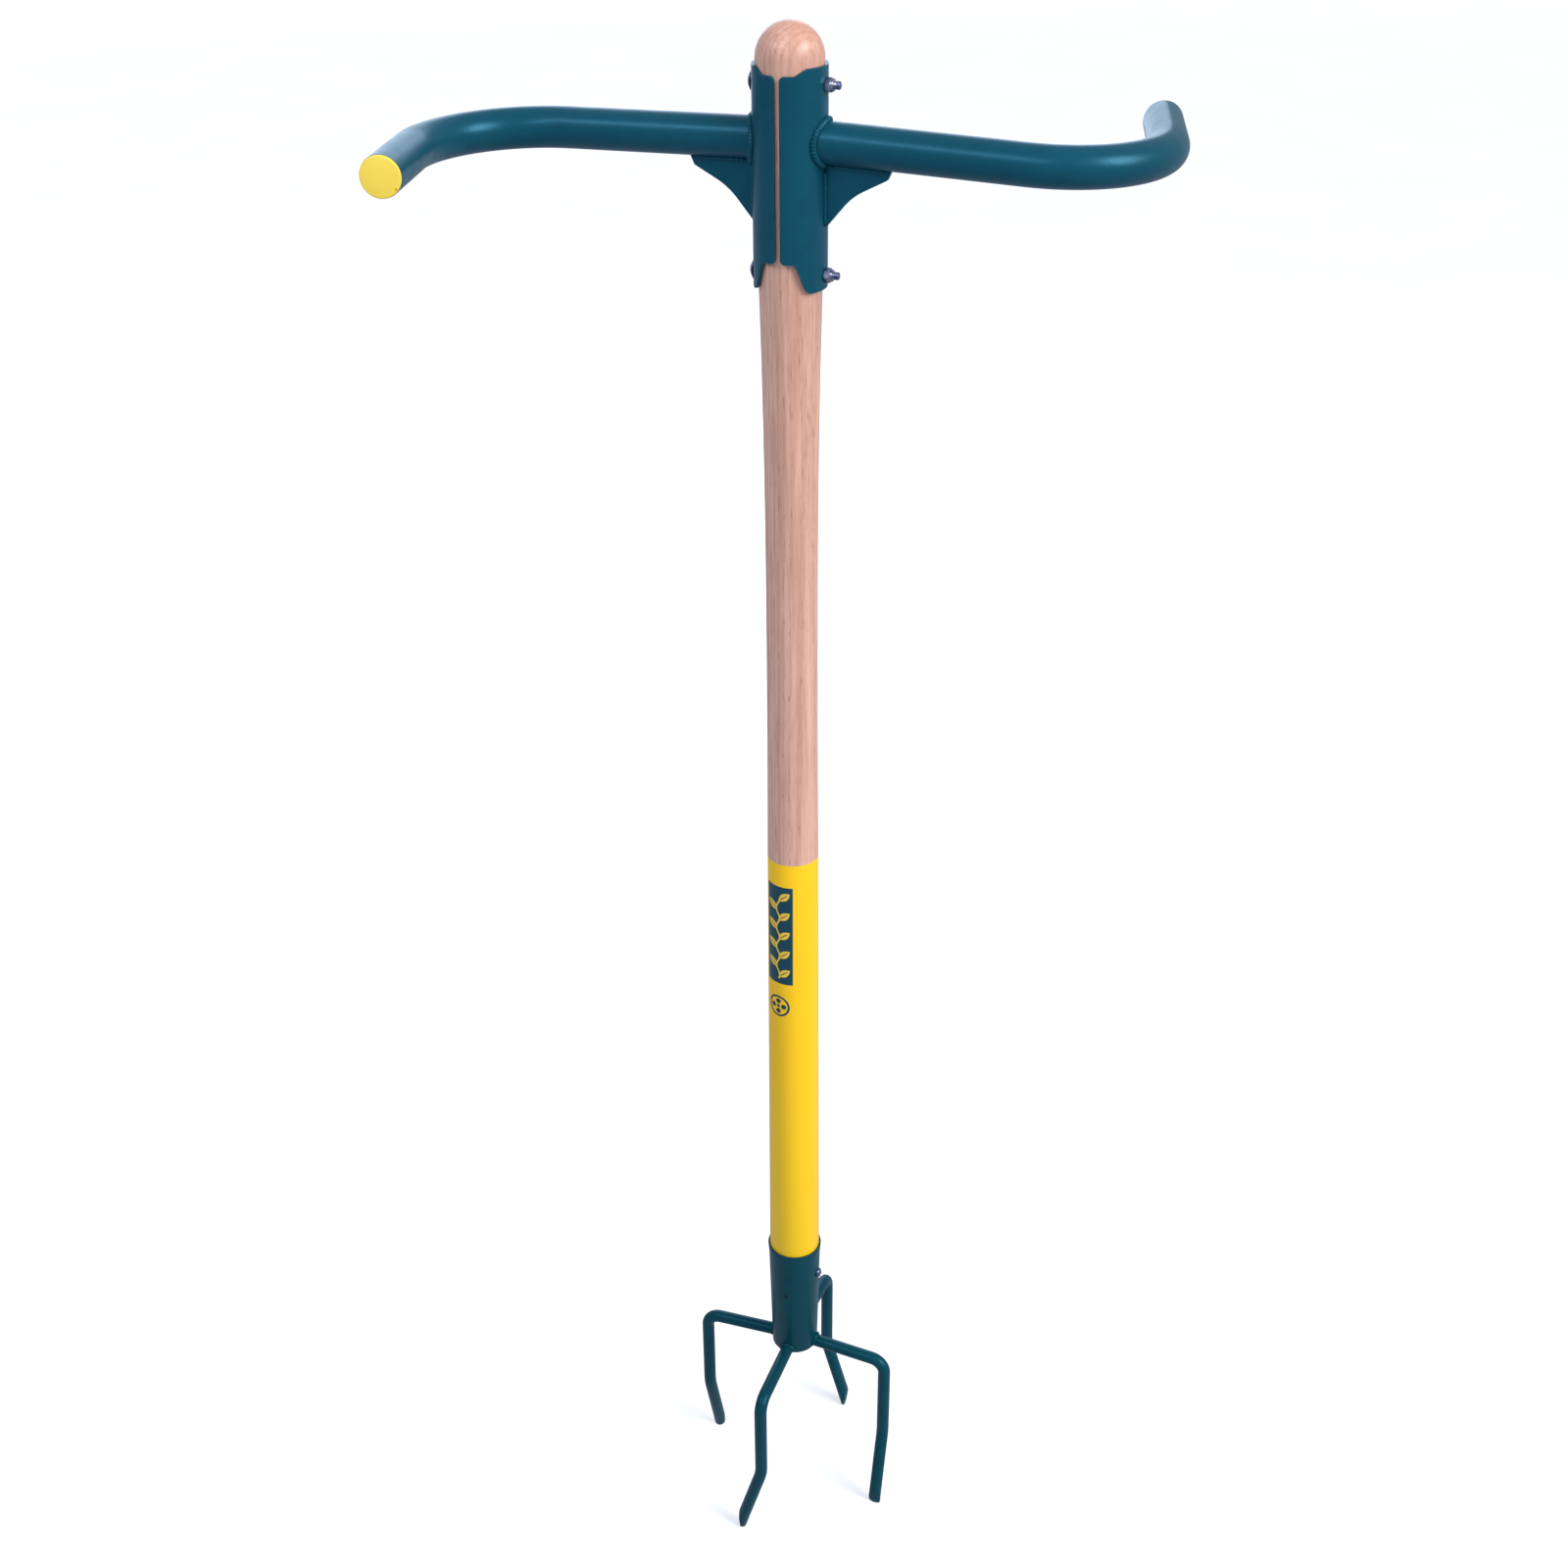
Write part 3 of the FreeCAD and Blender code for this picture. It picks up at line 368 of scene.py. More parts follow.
# ---------------- yellow sleeve
# A thin yellow film shrunk over the lower handle, from its waist down into the
# socket. Heat leaves it tight and glossy, with the grain just showing through.

def yellow_film():
    """Smooth yellow film, with the wood's grain very faint in its gloss."""
    finish = Finish("yellow_film", Coat_Roughness=0.2, Specular_IOR_Level=0.35)
    clouds = finish.noise(14.0, 2.0, (1.0, 1.0, 0.3))
    grain = finish.noise(420.0, 2.0, (1.0, 1.0, 0.02))
    body = finish.blend(clouds.ramp(0.35, 0.65), (1.0, 0.625, 0.006, 1.0),
                        (0.995, 0.580, 0.006, 1.0))
    body = finish.blend(grain.ramp(0.45, 0.75) * 0.12, body, (0.93, 0.48, 0.006, 1.0))
    finish.feed(Base_Color=body, Roughness=0.30 + clouds * 0.12, Coat_Weight=0.08 + grain * 0.1)
    finish.relief(grain, depth=0.00004, strength=0.35)
    return finish.material


def sleeve_radius(height):
    """The film's outer radius between the socket's mouth and its own top edge."""
    share = (height - socket_high.z) / (sleeve_high.z - socket_high.z)
    return sleeve_foot_radius + (sleeve_top_radius - sleeve_foot_radius) * share


lip = 0.25 * mm
film_profile = [
    (tail_radius, sleeve_low.z),
    (tail_radius + sleeve_wall, sleeve_low.z),
    (neck_seat_radius, neck_height),
    (sleeve_foot_radius, socket_high.z),
    (sleeve_top_radius, sleeve_high.z - lip),
    (sleeve_top_radius - lip * 0.3, sleeve_high.z - lip * 0.3),
    (sleeve_top_radius - lip, sleeve_high.z),
    (sleeve_top_radius - sleeve_wall, sleeve_high.z),
    (sleeve_foot_radius - sleeve_wall, socket_high.z),
    (neck_seat_radius - sleeve_wall, neck_height),
]
film = new_piece("film_sleeve", lathe(film_profile, 128, ring=True), yellow_film())
carve(film, [screw_hole(), pin_hole(0.0, 2 * pin_radius)])
settle(film, "handle_sleeve")


# ---------------- printed panel
# A dark panel printed on the film, with a climbing stem of leaves left yellow,
# and under it a ring round the four holes that the tines leave in a lawn.

panel_low, panel_high = 516.0 * mm, 600.0 * mm
panel_width = 23.0 * mm
panel_turn = radians(-106.0)
ink_height = 0.07 * mm
mark_height = 495.5 * mm
ring_outer, ring_inner = 9.2 * mm, 7.6 * mm
dot_radius, dot_reach, centre_radius = 2.1 * mm, 4.4 * mm, 1.4 * mm


def dark_ink(name, cloud, deep, pale, depth):
    """A finish of dark ink, and its slightly cloudy colour."""
    finish = Finish(name, Roughness=0.36, Specular_IOR_Level=0.3)
    mottle = finish.noise(cloud, 2.0)
    finish.relief(mottle, depth, strength=0.3)
    return finish, finish.blend(mottle, deep, pale)


def panel_ink():
    """Dark ink with the stem and its leaves left yellow, drawn in millimetres."""
    finish, dark = dark_ink("panel_ink", 60.0, (0.0035, 0.052, 0.080, 1.0),
                            (0.0055, 0.066, 0.096, 1.0), 0.00002)
    yellow = (0.95, 0.62, 0.05, 1.0)
    wide, tall = panel_width / mm, (panel_high - panel_low) / mm
    u, v, _ = finish.split(finish.node("ShaderNodeTexCoord", output=2))
    side, up = u * wide, v * tall
    edge = side.at_most(wide - side).at_most(up).at_most(tall - up)
    stem_sway, stem_half = 1.5, 0.75
    margin, turns, stem_foot, stem_top = 3.6, 4.65, 0.05, 4.22
    pitch = (tall - 2 * margin) / turns
    climb = (up - margin) / pitch
    middle = (climb * tau).sine() * stem_sway + wide / 2
    drawn = (abs(side - middle) < stem_half) * (climb > stem_foot) * (climb < stem_top)
    leaf_half_length, leaf_half_width, leaf_share = 5.5, 2.9, 0.4
    leaf_lean, leaf_aside, leaf_margin = radians(52.0), 5.0, 1.4
    vein_half, vein_end = 0.35, 0.55
    for first, last, hand in ((0.36, 4.36, 1.0), (0.86, 3.86, -1.0)):
        rise = ((climb - first + 0.5).fraction() - 0.5) * pitch
        aside = (side - wide / 2) * hand - leaf_aside
        length = aside * sin(leaf_lean) + rise * cos(leaf_lean)
        width = aside * cos(leaf_lean) - rise * sin(leaf_lean)
        pointed = length / leaf_half_length
        leaf = abs(width) < (1.0 - pointed * pointed) * leaf_half_width
        vein = (abs(width) < vein_half) * (pointed < vein_end)
        grown = (climb > first - leaf_share) * (climb < last + leaf_share)
        drawn = drawn.at_least(leaf * (1.0 - vein) * (edge > leaf_margin) * grown)
    finish.feed(Base_Color=finish.blend(drawn, dark, yellow))
    return finish.material


def wrapped(across, height, proud):
    """A point on the film, so far round from the panel's middle line and so far proud."""
    radius = sleeve_radius(height) + proud
    angle = panel_turn + across / sleeve_radius(height)
    return Vector((radius * cos(angle), radius * sin(angle), height))


def panel_sheet():
    """The panel laid round the film, with a map from 0 to 1 each way."""
    shape = bmesh.new()
    bmesh.ops.create_grid(shape, x_segments=28, y_segments=40, size=0.5)
    panel_map = shape.loops.layers.uv.new("panel")
    for face in shape.faces:
        for loop in face.loops:
            loop[panel_map].uv = loop.vert.co.xy + Vector((0.5, 0.5))
    for vert in shape.verts:
        height = panel_low + (panel_high - panel_low) * (vert.co.y + 0.5)
        vert.co = wrapped(vert.co.x * panel_width, height, 0.0)
    return shape


panel = new_piece("printed_panel", panel_sheet(), panel_ink())
reshape(panel, "SOLIDIFY", thickness=ink_height, offset=1.0)
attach(panel, "root")


def hole_ring():
    """A printed ring with the holes of four tines in it, and the handle's place between."""
    spots = [(0.0, 0.0, ring_outer, ring_inner), (0.0, 0.0, centre_radius, 0.0)]
    for across, up in arc((0.0, 0.0), (dot_reach, dot_reach), 0.0, tau, 4)[:-1]:
        spots.append((across, up, dot_radius, 0.0))
    whole = bmesh.new()
    for across, up, outer, inner in spots:
        flat = lathe([(inner, 0.0), (outer, 0.0), (outer, ink_height), (inner, ink_height)],
                     48 if inner else 20, ring=inner > 0)
        for vert in flat.verts:
            x, y, proud = vert.co
            vert.co = wrapped(across + x, mark_height + up + y, proud)
        mesh = bpy.data.meshes.new("spot")
        flat.to_mesh(mesh)
        flat.free()
        whole.from_mesh(mesh)
        bpy.data.meshes.remove(mesh)
    return whole


mark_finish, mark_colour = dark_ink("dark_ink", 300.0, (0.0035, 0.050, 0.076, 1.0),
                                    (0.0060, 0.070, 0.100, 1.0), 0.00001)
mark_finish.feed(Base_Color=mark_colour)
mark = new_piece("printed_mark", hole_ring(), mark_finish.material)
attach(mark, "root")


# ---------------- clamp collar
# Two half-shells bent from 2 mm sheet, laser cut with a long tab at the middle
# of each end, and powder coated in dark teal. A slit stays open front and back.

def powder_coat(name, light, middle, dark, gloss):
    """Semi-gloss powder coat: the fine orange peel of a baked coat, a little uneven."""
    finish = Finish(name, Specular_Tint=(0.20, 0.66, 1.0, 1.0), Specular_IOR_Level=gloss)
    drift = finish.noise(9.0, 2.0)
    mottle = finish.noise(85.0, 3.0)
    peel = finish.noise(560.0, 2.0)
    speck = finish.noise(1700.0, 1.0)
    body = finish.blend(drift.ramp(0.3, 0.7), middle, light)
    body = finish.blend(mottle.ramp(0.45, 0.75) * 0.35, body, dark)
    pale_speck = (0.030, 0.150, 0.190, 1.0)
    body = finish.blend(speck.ramp(0.70, 0.80) * 0.30, body, pale_speck)
    finish.feed(Base_Color=body, Roughness=0.26 + mottle * 0.14)
    finish.relief(peel + speck * 0.25, depth=0.00016, strength=0.42)
    return finish.material


teal = powder_coat("teal_powder_coat", (0.0050, 0.0760, 0.1160, 1.0),
                   (0.0038, 0.0640, 0.0980, 1.0), (0.0026, 0.0500, 0.0780, 1.0), 0.5)

collar_outer = collar_high.x
collar_wall = 2.0 * mm
half_slit = 1.75 * mm
tab_rise, tab_drop = 4.0 * mm, 18.2 * mm
shoulder_reach, tab_reach = 10.75 * mm, 16.75 * mm
slit_corner, foot_corner, top_corner = 3.0 * mm, 1.6 * mm, 1.2 * mm
hole_gap, edge_round = 0.3 * mm, 0.45 * mm


def rounded_step(x, rounding):
    """0 up to the shoulder and 1 past the tab's corner, with both corners rounded."""
    run = tab_reach - shoulder_reach
    share = (x - shoulder_reach) / run
    ease = rounding / run
    if share < -ease:
        return 0.0
    if share < ease:
        return (share + ease) ** 2 / (4 * ease)
    if share < 1 - ease:
        return share
    if share < 1 + ease:
        return 1 - (1 + ease - share) ** 2 / (4 * ease)
    return 1.0


def collar_edges(angle):
    """The lowest and highest points of the sheet at an angle from the middle of its tab."""
    x = collar_outer * cos(angle)
    from_slit = x - half_slit
    inset = 0.0
    if from_slit < slit_corner:
        short = slit_corner - max(from_slit, 0.0)
        inset = slit_corner - sqrt(slit_corner ** 2 - short ** 2)
    low = collar_low.z + tab_drop * (1 - rounded_step(x, foot_corner)) + inset
    high = collar_high.z - tab_rise * (1 - rounded_step(x, top_corner)) - inset
    return low, high


def break_edges(piece, sharper_than, smooth_to=35.0):
    """Round the edges that turn by more than an angle, as a file or a coat of paint does."""
    reshape(piece, "BEVEL", smooth_to, width=edge_round, segments=3, limit_method="ANGLE",
            angle_limit=radians(sharper_than))


def collar_sheet(side):
    """One half-shell's outer face. The side is +1 for right, -1 for left."""
    columns, rows = 120, 44
    slit_angle = acos(half_slit / collar_outer)
    shape = bmesh.new()
    grid = []
    for column in range(columns + 1):
        share = 2 * column / columns - 1
        # the columns crowd towards the slit, where the sheet's corners are
        angle = slit_angle * sin(share * pi / 2)
        low, high = collar_edges(angle)
        x, y = side * collar_outer * cos(angle), side * collar_outer * sin(angle)
        grid.append([shape.verts.new((x, y, low + (high - low) * row / rows))
                     for row in range(rows + 1)])
    for left, right in zip(grid, grid[1:]):
        join_rows(shape, right, left, closed=False)
    return shape


crease = 40.0
for name, side in (("right", 1), ("left", -1)):
    shell = new_piece(f"{name}_collar_shell", collar_sheet(side), teal, crease)
    reshape(shell, "SOLIDIFY", crease, thickness=collar_wall, offset=-1.0, use_even_offset=True)
    carve(shell, [drill((0, 0, height), (side * 2 * collar_outer, 0, height),
                        bolt_radius + hole_gap) for height in bolt_heights])
    break_edges(shell, 50.0, crease)
    settle(shell, f"{name}_collar_half")


# ---------------- handlebar arms
# Each arm is 25 mm steel tube, bent through more than a right angle for a grip,
# coped to fit the collar, welded on and powder coated with it.

def geometry_tree(name, sizes):
    """A Geometry Nodes tree with named size inputs, and the wires of its inputs."""
    tree = bpy.data.node_groups.new(name, "GeometryNodeTree")
    tree.interface.new_socket(name="Geometry", in_out="INPUT", socket_type="NodeSocketGeometry")
    for size, kind in sizes.items():
        tree.interface.new_socket(name=size, in_out="INPUT", socket_type=f"NodeSocket{kind}")
    tree.interface.new_socket(name="Geometry", in_out="OUTPUT", socket_type="NodeSocketGeometry")
    graph = Graph(tree)
    entry = tree.nodes.new("NodeGroupInput")
    wires = {socket.name: Wire(graph, socket) for socket in entry.outputs if socket.name}
    return graph, wires


def end_tree(graph, geometry, material):
    """Close a tree: real mesh only, with its material."""
    real = graph.node("GeometryNodeRealizeInstances", None, {"Geometry": geometry})
    painted = graph.node("GeometryNodeSetMaterial", None, {"Geometry": real, "Material": material})
    leave = graph.tree.nodes.new("NodeGroupOutput")
    graph.tree.links.new(painted.socket, leave.inputs["Geometry"])
    return graph.tree


def welded_bar():
    """A round bar along a path, its inner end coped to the round post it stands on."""
    graph, size = geometry_tree("welded_bar", {
        "Bar Radius": "Float", "Sides": "Int", "Fill Ends": "Bool", "Post Radius": "Float",
        "Post Taper": "Float", "Post Height": "Float", "Material": "Material"})
    path = graph.node("GeometryNodeMeshToCurve", None, {"Mesh": size["Geometry"]})
    section = graph.node("GeometryNodeCurvePrimitiveCircle", None,
                         {"Resolution": size["Sides"], "Radius": size["Bar Radius"]})
    bar = graph.node("GeometryNodeCurveToMesh", None,
                     {"Curve": path, "Profile Curve": section, "Fill Caps": size["Fill Ends"]})
    x, y, z = graph.split(graph.node("GeometryNodeInputPosition"))
    post = size["Post Radius"] + (z - size["Post Height"]) * size["Post Taper"]
    face = (post * post - y * y).at_least(0.0).root()
    coped = graph.node("ShaderNodeCombineXYZ", None, {"X": x.at_least(face), "Y": y, "Z": z})
    seated = graph.node("GeometryNodeSetPosition", None, {"Geometry": bar, "Position": coped})
    return end_tree(graph, seated, size["Material"])


def path_piece(name, paths, tree, sizes):
    """A plain mesh piece that a tree makes along one or more open paths of points."""
    shape = bmesh.new()
    for points in paths:
        spots = [shape.verts.new(point) for point in points]
        for first, second in zip(spots, spots[1:]):
            shape.edges.new((first, second))
    piece = new_piece(name, shape, sizes["Material"])
    inputs = {item.identifier: sizes[item.name] for item in tree.interface.items_tree
              if item.in_out == "INPUT" and item.name in sizes}
    return reshape(piece, "NODES", inputs=inputs, node_group=tree)


bar_height = collar_high.z - 43.5 * mm
bar_radius = 12.5 * mm
bar_wall = 1.5 * mm
bar_run = 145.6 * mm
bend_radius = 66.8 * mm
bend_angle = radians(104.9)
grip_length = 64.0 * mm
arm_embed = 5.0 * mm
droop = radians(1.52)
droop_turn = Matrix.Rotation(droop, 4, "Y")


def arm_path():
    """The arm's centreline, out along +X with its bend towards +Y."""
    turned = arc((bar_run, bend_radius), (bend_radius, bend_radius), -pi / 2,
                 bend_angle - pi / 2, 40)
    points = [Vector((x, y, 0)) for x, y in [(collar_outer - arm_embed, 0), *turned]]
    grip = Vector((cos(bend_angle), sin(bend_angle), 0))
    points.append(points[-1] + grip * grip_length)
    return [Matrix.Translation((0, 0, bar_height)) @ droop_turn @ point for point in points]


bar_tree = welded_bar()
sides = (("right", Matrix.Identity(4)), ("left", Matrix.Rotation(pi, 4, "Z")))
for side, turn in sides:
    arm = path_piece(f"{side}_arm_tube", [arm_path()], bar_tree, {
        "Bar Radius": bar_radius, "Sides": 64, "Post Radius": collar_outer, "Material": teal})
    reshape(arm, "SOLIDIFY", thickness=bar_wall, offset=-1.0)
    settle(arm, f"{side}_handlebar_tube", turn)


# ---------------- end caps
# A yellow plug is pushed into each open tube end. Its flange covers the cut
# edge, and a small vent is left at the rim.

def yellow_plastic():
    """Moulded yellow plastic with a fine, even spark texture."""
    finish = Finish("yellow_plastic", Specular_IOR_Level=0.45)
    cloud = finish.noise(55.0, 2.0)
    spark = finish.noise(1400.0, 2.0)
    body = finish.blend(cloud.ramp(0.3, 0.7), (1.0, 0.760, 0.095, 1.0), (0.98, 0.710, 0.080, 1.0))
    finish.feed(Base_Color=body, Roughness=0.38 + spark * 0.12)
    finish.relief(spark, depth=0.00005, strength=0.35)
    return finish.material


cap_flange = 2.2 * mm
cap_radius = bar_radius - 0.2 * mm
cap_rounding, cap_crown = 0.9 * mm, 0.25 * mm
plug_radius = bar_radius - bar_wall - 0.05 * mm
plug_draft, plug_rounding = 0.05 * mm, 0.5 * mm
plug_wall, plug_depth = 1.6 * mm, 14.0 * mm
vent_radius, vent_floor = 0.9 * mm, 0.8 * mm
vent_reach, vent_angle = cap_radius - 1.2 * mm, radians(50.0)

face_middle, *cap_outline = soften([
    (0.0, cap_flange),
    (0.0, 0.0),
    (plug_radius - plug_wall, 0.0, plug_rounding),
    (plug_radius - plug_wall, -plug_depth),
    (plug_radius - plug_draft, -plug_depth, plug_rounding),
    (plug_radius, 0.0),
    (cap_radius, 0.0, cap_crown),
    (cap_radius, cap_flange - cap_crown, cap_rounding),
])
cap_profile = [*cap_outline, (cap_radius * 0.4, cap_flange), face_middle]
cap_turn = droop_turn @ Matrix.Rotation(bend_angle, 4, "Z") @ Matrix.Rotation(pi / 2, 4, "Y")
cap_seat = Matrix.Translation(arm_path()[-1]) @ cap_turn
cap_plastic = yellow_plastic()
vent = Vector((vent_reach * cos(vent_angle), vent_reach * sin(vent_angle), vent_floor))
for side, turn in sides:
    cap = new_piece(f"{side}_plug_cap", lathe(cap_profile, 96), cap_plastic)
    carve(cap, [drill(vent, vent + Vector((0, 0, 2 * cap_flange)), vent_radius)])
    settle(cap, f"{side}_end_cap", turn @ cap_seat)


# ---------------- gussets
# A 4 mm plate with a hollowed edge stands in the corner under each arm and
# keeps the arm from folding down when the fork is twisted.

arm_underside = bar_height - bar_radius
gusset_half = 2.0 * mm
gusset_length, gusset_drop = 41.4 * mm, 37.4 * mm
waist_length, waist_depth, waist_rounding = 16.6 * mm, 18.6 * mm, 45.0 * mm
nose_length, nose_depth, nose_rounding = 38.9 * mm, 7.0 * mm, 1.2 * mm
toe_width, toe_rounding = 0.8 * mm, 0.4 * mm


def gusset_plate():
    """The plate for the right arm, in the XZ plane, let a little into the arm and collar."""
    embed = 0.12 * mm
    near_end, far_end = collar_outer - 0.05 * mm, collar_outer + gusset_length
    outline = soften([
        (near_end, embed - near_end * tan(droop)),
        (near_end, -gusset_drop),
        (collar_outer + toe_width, -gusset_drop, toe_rounding),
        (collar_outer + waist_length, -waist_depth, waist_rounding),
        (collar_outer + nose_length, -nose_depth, nose_rounding),
        (far_end, embed - far_end * tan(droop)),
    ], 10)
    shape = bmesh.new()
    faces = [[shape.verts.new((point.x, y, arm_underside + point.y)) for point in outline]
             for y in (-gusset_half, gusset_half)]
    for face in faces:
        shape.faces.new(face)
    join_rows(shape, *faces)
    bmesh.ops.recalc_face_normals(shape, faces=shape.faces)
    return shape


for side, turn in sides:
    plate = new_piece(f"{side}_gusset_plate", gusset_plate(), teal)
    break_edges(plate, 50.0)
    settle(plate, f"{side}_gusset", turn)


# ---------------- weld beads
# The arms and gussets are MIG welded before coating. Each bead is a chain of
# overlapping ripples, uneven as a hand makes them, and painted over.

def weld_bead():
    """A rippled bead along a path; each ripple falls away to the next, and none is alike."""
    graph, size = geometry_tree("weld_bead", {
        "Bead Radius": "Float", "Ripple Pitch": "Float", "Ripple Depth": "Float",
        "Wander": "Float", "Seed": "Int", "Material": "Material"})
    path = graph.node("GeometryNodeMeshToCurve", None, {"Mesh": size["Geometry"]})
    steps_per_ripple = 7.0
    fine = graph.node("GeometryNodeResampleCurve", {"mode": "LENGTH"},
                      {"Curve": path, "Length": size["Ripple Pitch"] / steps_per_ripple})
    along = graph.node("GeometryNodeSplineParameter", output=1)
    total = graph.node("GeometryNodeSplineLength", output=0)
    ripple = along / size["Ripple Pitch"]
    saw = ripple.fraction()
    uneven = graph.node("FunctionNodeRandomValue", {"data_type": "FLOAT"},
                        {2: 1.0 - size["Wander"], 3: 1.0 + size["Wander"],
                         7: ripple.floor(), 8: size["Seed"]}, output=1)
    to_end = along.at_most(total - along)
    rounded_end = (to_end / size["Bead Radius"] + 0.25).ramp(0.0, 1.6)
    fall = saw * saw * size["Ripple Depth"]
    swell = (1.0 - fall) * uneven * rounded_end * size["Bead Radius"]
    section = graph.node("GeometryNodeCurvePrimitiveCircle", None,
                         {"Resolution": 14, "Radius": 1.0})
    bead = graph.node("GeometryNodeCurveToMesh", None, {
        "Curve": fine, "Profile Curve": section, "Scale": swell, "Fill Caps": True})
    return end_tree(graph, bead, size["Material"])


bead_tree = weld_bead()
bead_sizes = {"Ripple Pitch": 2.0 * mm, "Ripple Depth": 0.27, "Wander": 0.11, "Material": teal}
arm_bead, gusset_bead = 2.1 * mm, 1.35 * mm


def seam(bar, post, height, first, last, count, taper=0.0, slope=0.0):
    """Points where a round bar meets a round post, between two angles round the bar. The
    post may widen upwards, and the bar may slope down."""
    points = []
    for y, rise in arc((0.0, 0.0), (bar, bar), first, last, count):
        x = sqrt((post + taper * rise) ** 2 - y ** 2)
        points.append(Vector((x, y, height + rise - x * slope)))
    return points


def arm_bead_paths():
    """Round the arm where it meets the collar, open at the gusset."""
    gap, proud = radians(11.0), 0.75 * mm
    return [seam(bar_radius + proud, collar_outer + proud, bar_height, gap - pi / 2,
                 pi * 3 / 2 - gap, 90, slope=sin(droop))]


def gusset_bead_paths():
    """Two runs down the collar and two along the arm, one on each face of the plate."""
    down_proud, out_proud, drop = 0.55 * mm, 0.6 * mm, 0.35 * mm
    top, foot = arm_underside - 4.4 * mm, arm_underside - 36.0 * mm
    near_end, far_end = collar_outer + 5.0 * mm, collar_outer + 37.0 * mm
    paths = []
    for out in (gusset_half + out_proud, -gusset_half - out_proud):
        down_x = sqrt((collar_outer + down_proud) ** 2 - out ** 2)
        paths.append([Vector((down_x, out, height)) for height in (top, foot)])
        paths.append([Vector((x, out, arm_underside - x * tan(droop) - drop))
                      for x in (near_end, far_end)])
    return paths


for seed, (side, turn) in enumerate(sides, start=3):
    for name, paths, radius in (("tube_weld", arm_bead_paths(), arm_bead),
                                ("gusset_weld", gusset_bead_paths(), gusset_bead)):
        bead = path_piece(f"{side}_{name}_bead", paths, bead_tree,
                          {**bead_sizes, "Bead Radius": radius, "Seed": seed})
        settle(bead, f"{side}_{name}", turn)


# ---------------- clamp bolts
# Two M5 coach bolts pull the half-shells together through the handle: domed
# heads on the left, lock nuts on the right, all bright zinc.

def bright_zinc():
    """Zinc plate with a blue passivate that drifts towards straw, both tones made dark as a
    painted dark reflection.
    """
    finish = Finish("bright_zinc", Metallic=1.0)
    drift = finish.noise(160.0, 2.0)
    fine = finish.noise(1500.0, 3.0)
    # The blue and straw tones are the passivate; how dark they are is a painted dark reflection of
    # dim surroundings, not the zinc's own colour.
    body = finish.blend(drift.ramp(0.35, 0.65), (0.13, 0.16, 0.30, 1.0), (0.36, 0.38, 0.47, 1.0))
    finish.feed(Base_Color=body, Roughness=0.24 + fine * 0.16)
    finish.relief(fine, depth=0.00003, strength=0.3)
    return finish.material


zinc = bright_zinc()
nut_height = 5.0 * mm
tip_show = 3.8 * mm
head_radius, head_height = 6.75 * mm, 3.3 * mm
head_rim = ((0.1, 0.55), (0.0, 0.35), (0.0, 0.1), (0.15, 0.0))
thread_pitch, thread_depth = 0.8 * mm, 0.42 * mm
tip_bevel, tip_end = 0.6 * mm, 0.5 * mm
bolt_length = 2 * collar_outer + nut_height + tip_show


def thread_reach(start, end):
    """A radius rule that cuts a V thread between two heights."""
    def reach(angle, radius, height):
        if not start < height < end:
            return radius
        turn = ((height - start) / thread_pitch - angle / tau) % 1.0
        return radius - thread_depth * abs(2 * turn - 1)
    return reach


def coach_bolt():
    """Head, square neck, plain shank and threaded tip, from the head's seat along +Z."""
    dome = (head_radius ** 2 + head_height ** 2) / (2 * head_height)
    head = arc((0.0, dome - head_height), (dome, dome), -pi / 2,
               asin(head_radius / dome) - pi / 2, 12)
    profile = [(0.0, -head_height), *head[1:-1]]
    profile += [(head_radius - inset * mm, -above * mm) for inset, above in head_rim]
    thread_start, thread_end = 2 * collar_outer - 6.0 * mm, bolt_length - tip_end
    rows_per_turn, run_in = 8, 0.2 * mm
    rows = int((thread_end - thread_start) / thread_pitch * rows_per_turn)
    profile += [(bolt_radius, 0.0), (bolt_radius, thread_start - run_in)]
    profile += [(bolt_radius, thread_start + (thread_end - thread_start) * row / rows)
                for row in range(rows + 1)]
    profile += [(bolt_radius - tip_bevel, bolt_length), (0.0, bolt_length)]
    shape = lathe(profile, 40, reach=thread_reach(thread_start, thread_end))
    neck = bmesh.ops.create_cube(shape, size=1.0)["verts"]
    block = Matrix.Diagonal((2 * bolt_radius, 2 * bolt_radius, collar_wall, 1.0))
    bmesh.ops.transform(shape, verts=neck,
                        matrix=Matrix.Translation((0, 0, collar_wall / 2)) @ block)
    return shape


def hex_nut():
    """A lock nut: chamfered hexagon, with a rolled crown round the nylon ring."""
    flat, hex_height, chamfer = 4.0 * mm, 3.6 * mm, tan(radians(30.0))
    bore = bolt_radius + 0.05 * mm
    crown, roll_width, roll_height = 3.7 * mm, 0.6 * mm, 0.7 * mm
    recess, recess_lip, recess_floor = 3.1 * mm, 0.3 * mm, 1.3 * mm

    def reach(angle, radius, height):
        to_corner = (angle % (pi / 3)) - pi / 6
        return min(radius, flat / cos(to_corner)) if radius > crown else radius

    chamfer_foot = flat * 0.97
    chamfer_width = flat / cos(pi / 6) - chamfer_foot
    outs = [chamfer_width * step / 6 for step in range(7)]
    profile = [(bore, 0.0)]
    profile += [(chamfer_foot + out, out * chamfer) for out in outs]
    profile += [(chamfer_foot + out, hex_height - out * chamfer) for out in reversed(outs)]
    profile += [(crown, hex_height)]
    profile += arc((crown - roll_width, nut_height - roll_height), (roll_width, roll_height), 0.0,
                   pi / 2, 6)
    profile += [(recess, nut_height - recess_lip), (recess, nut_height - recess_floor),
                (bore, nut_height - recess_floor)]
    return lathe(profile, 72, ring=True, reach=reach)


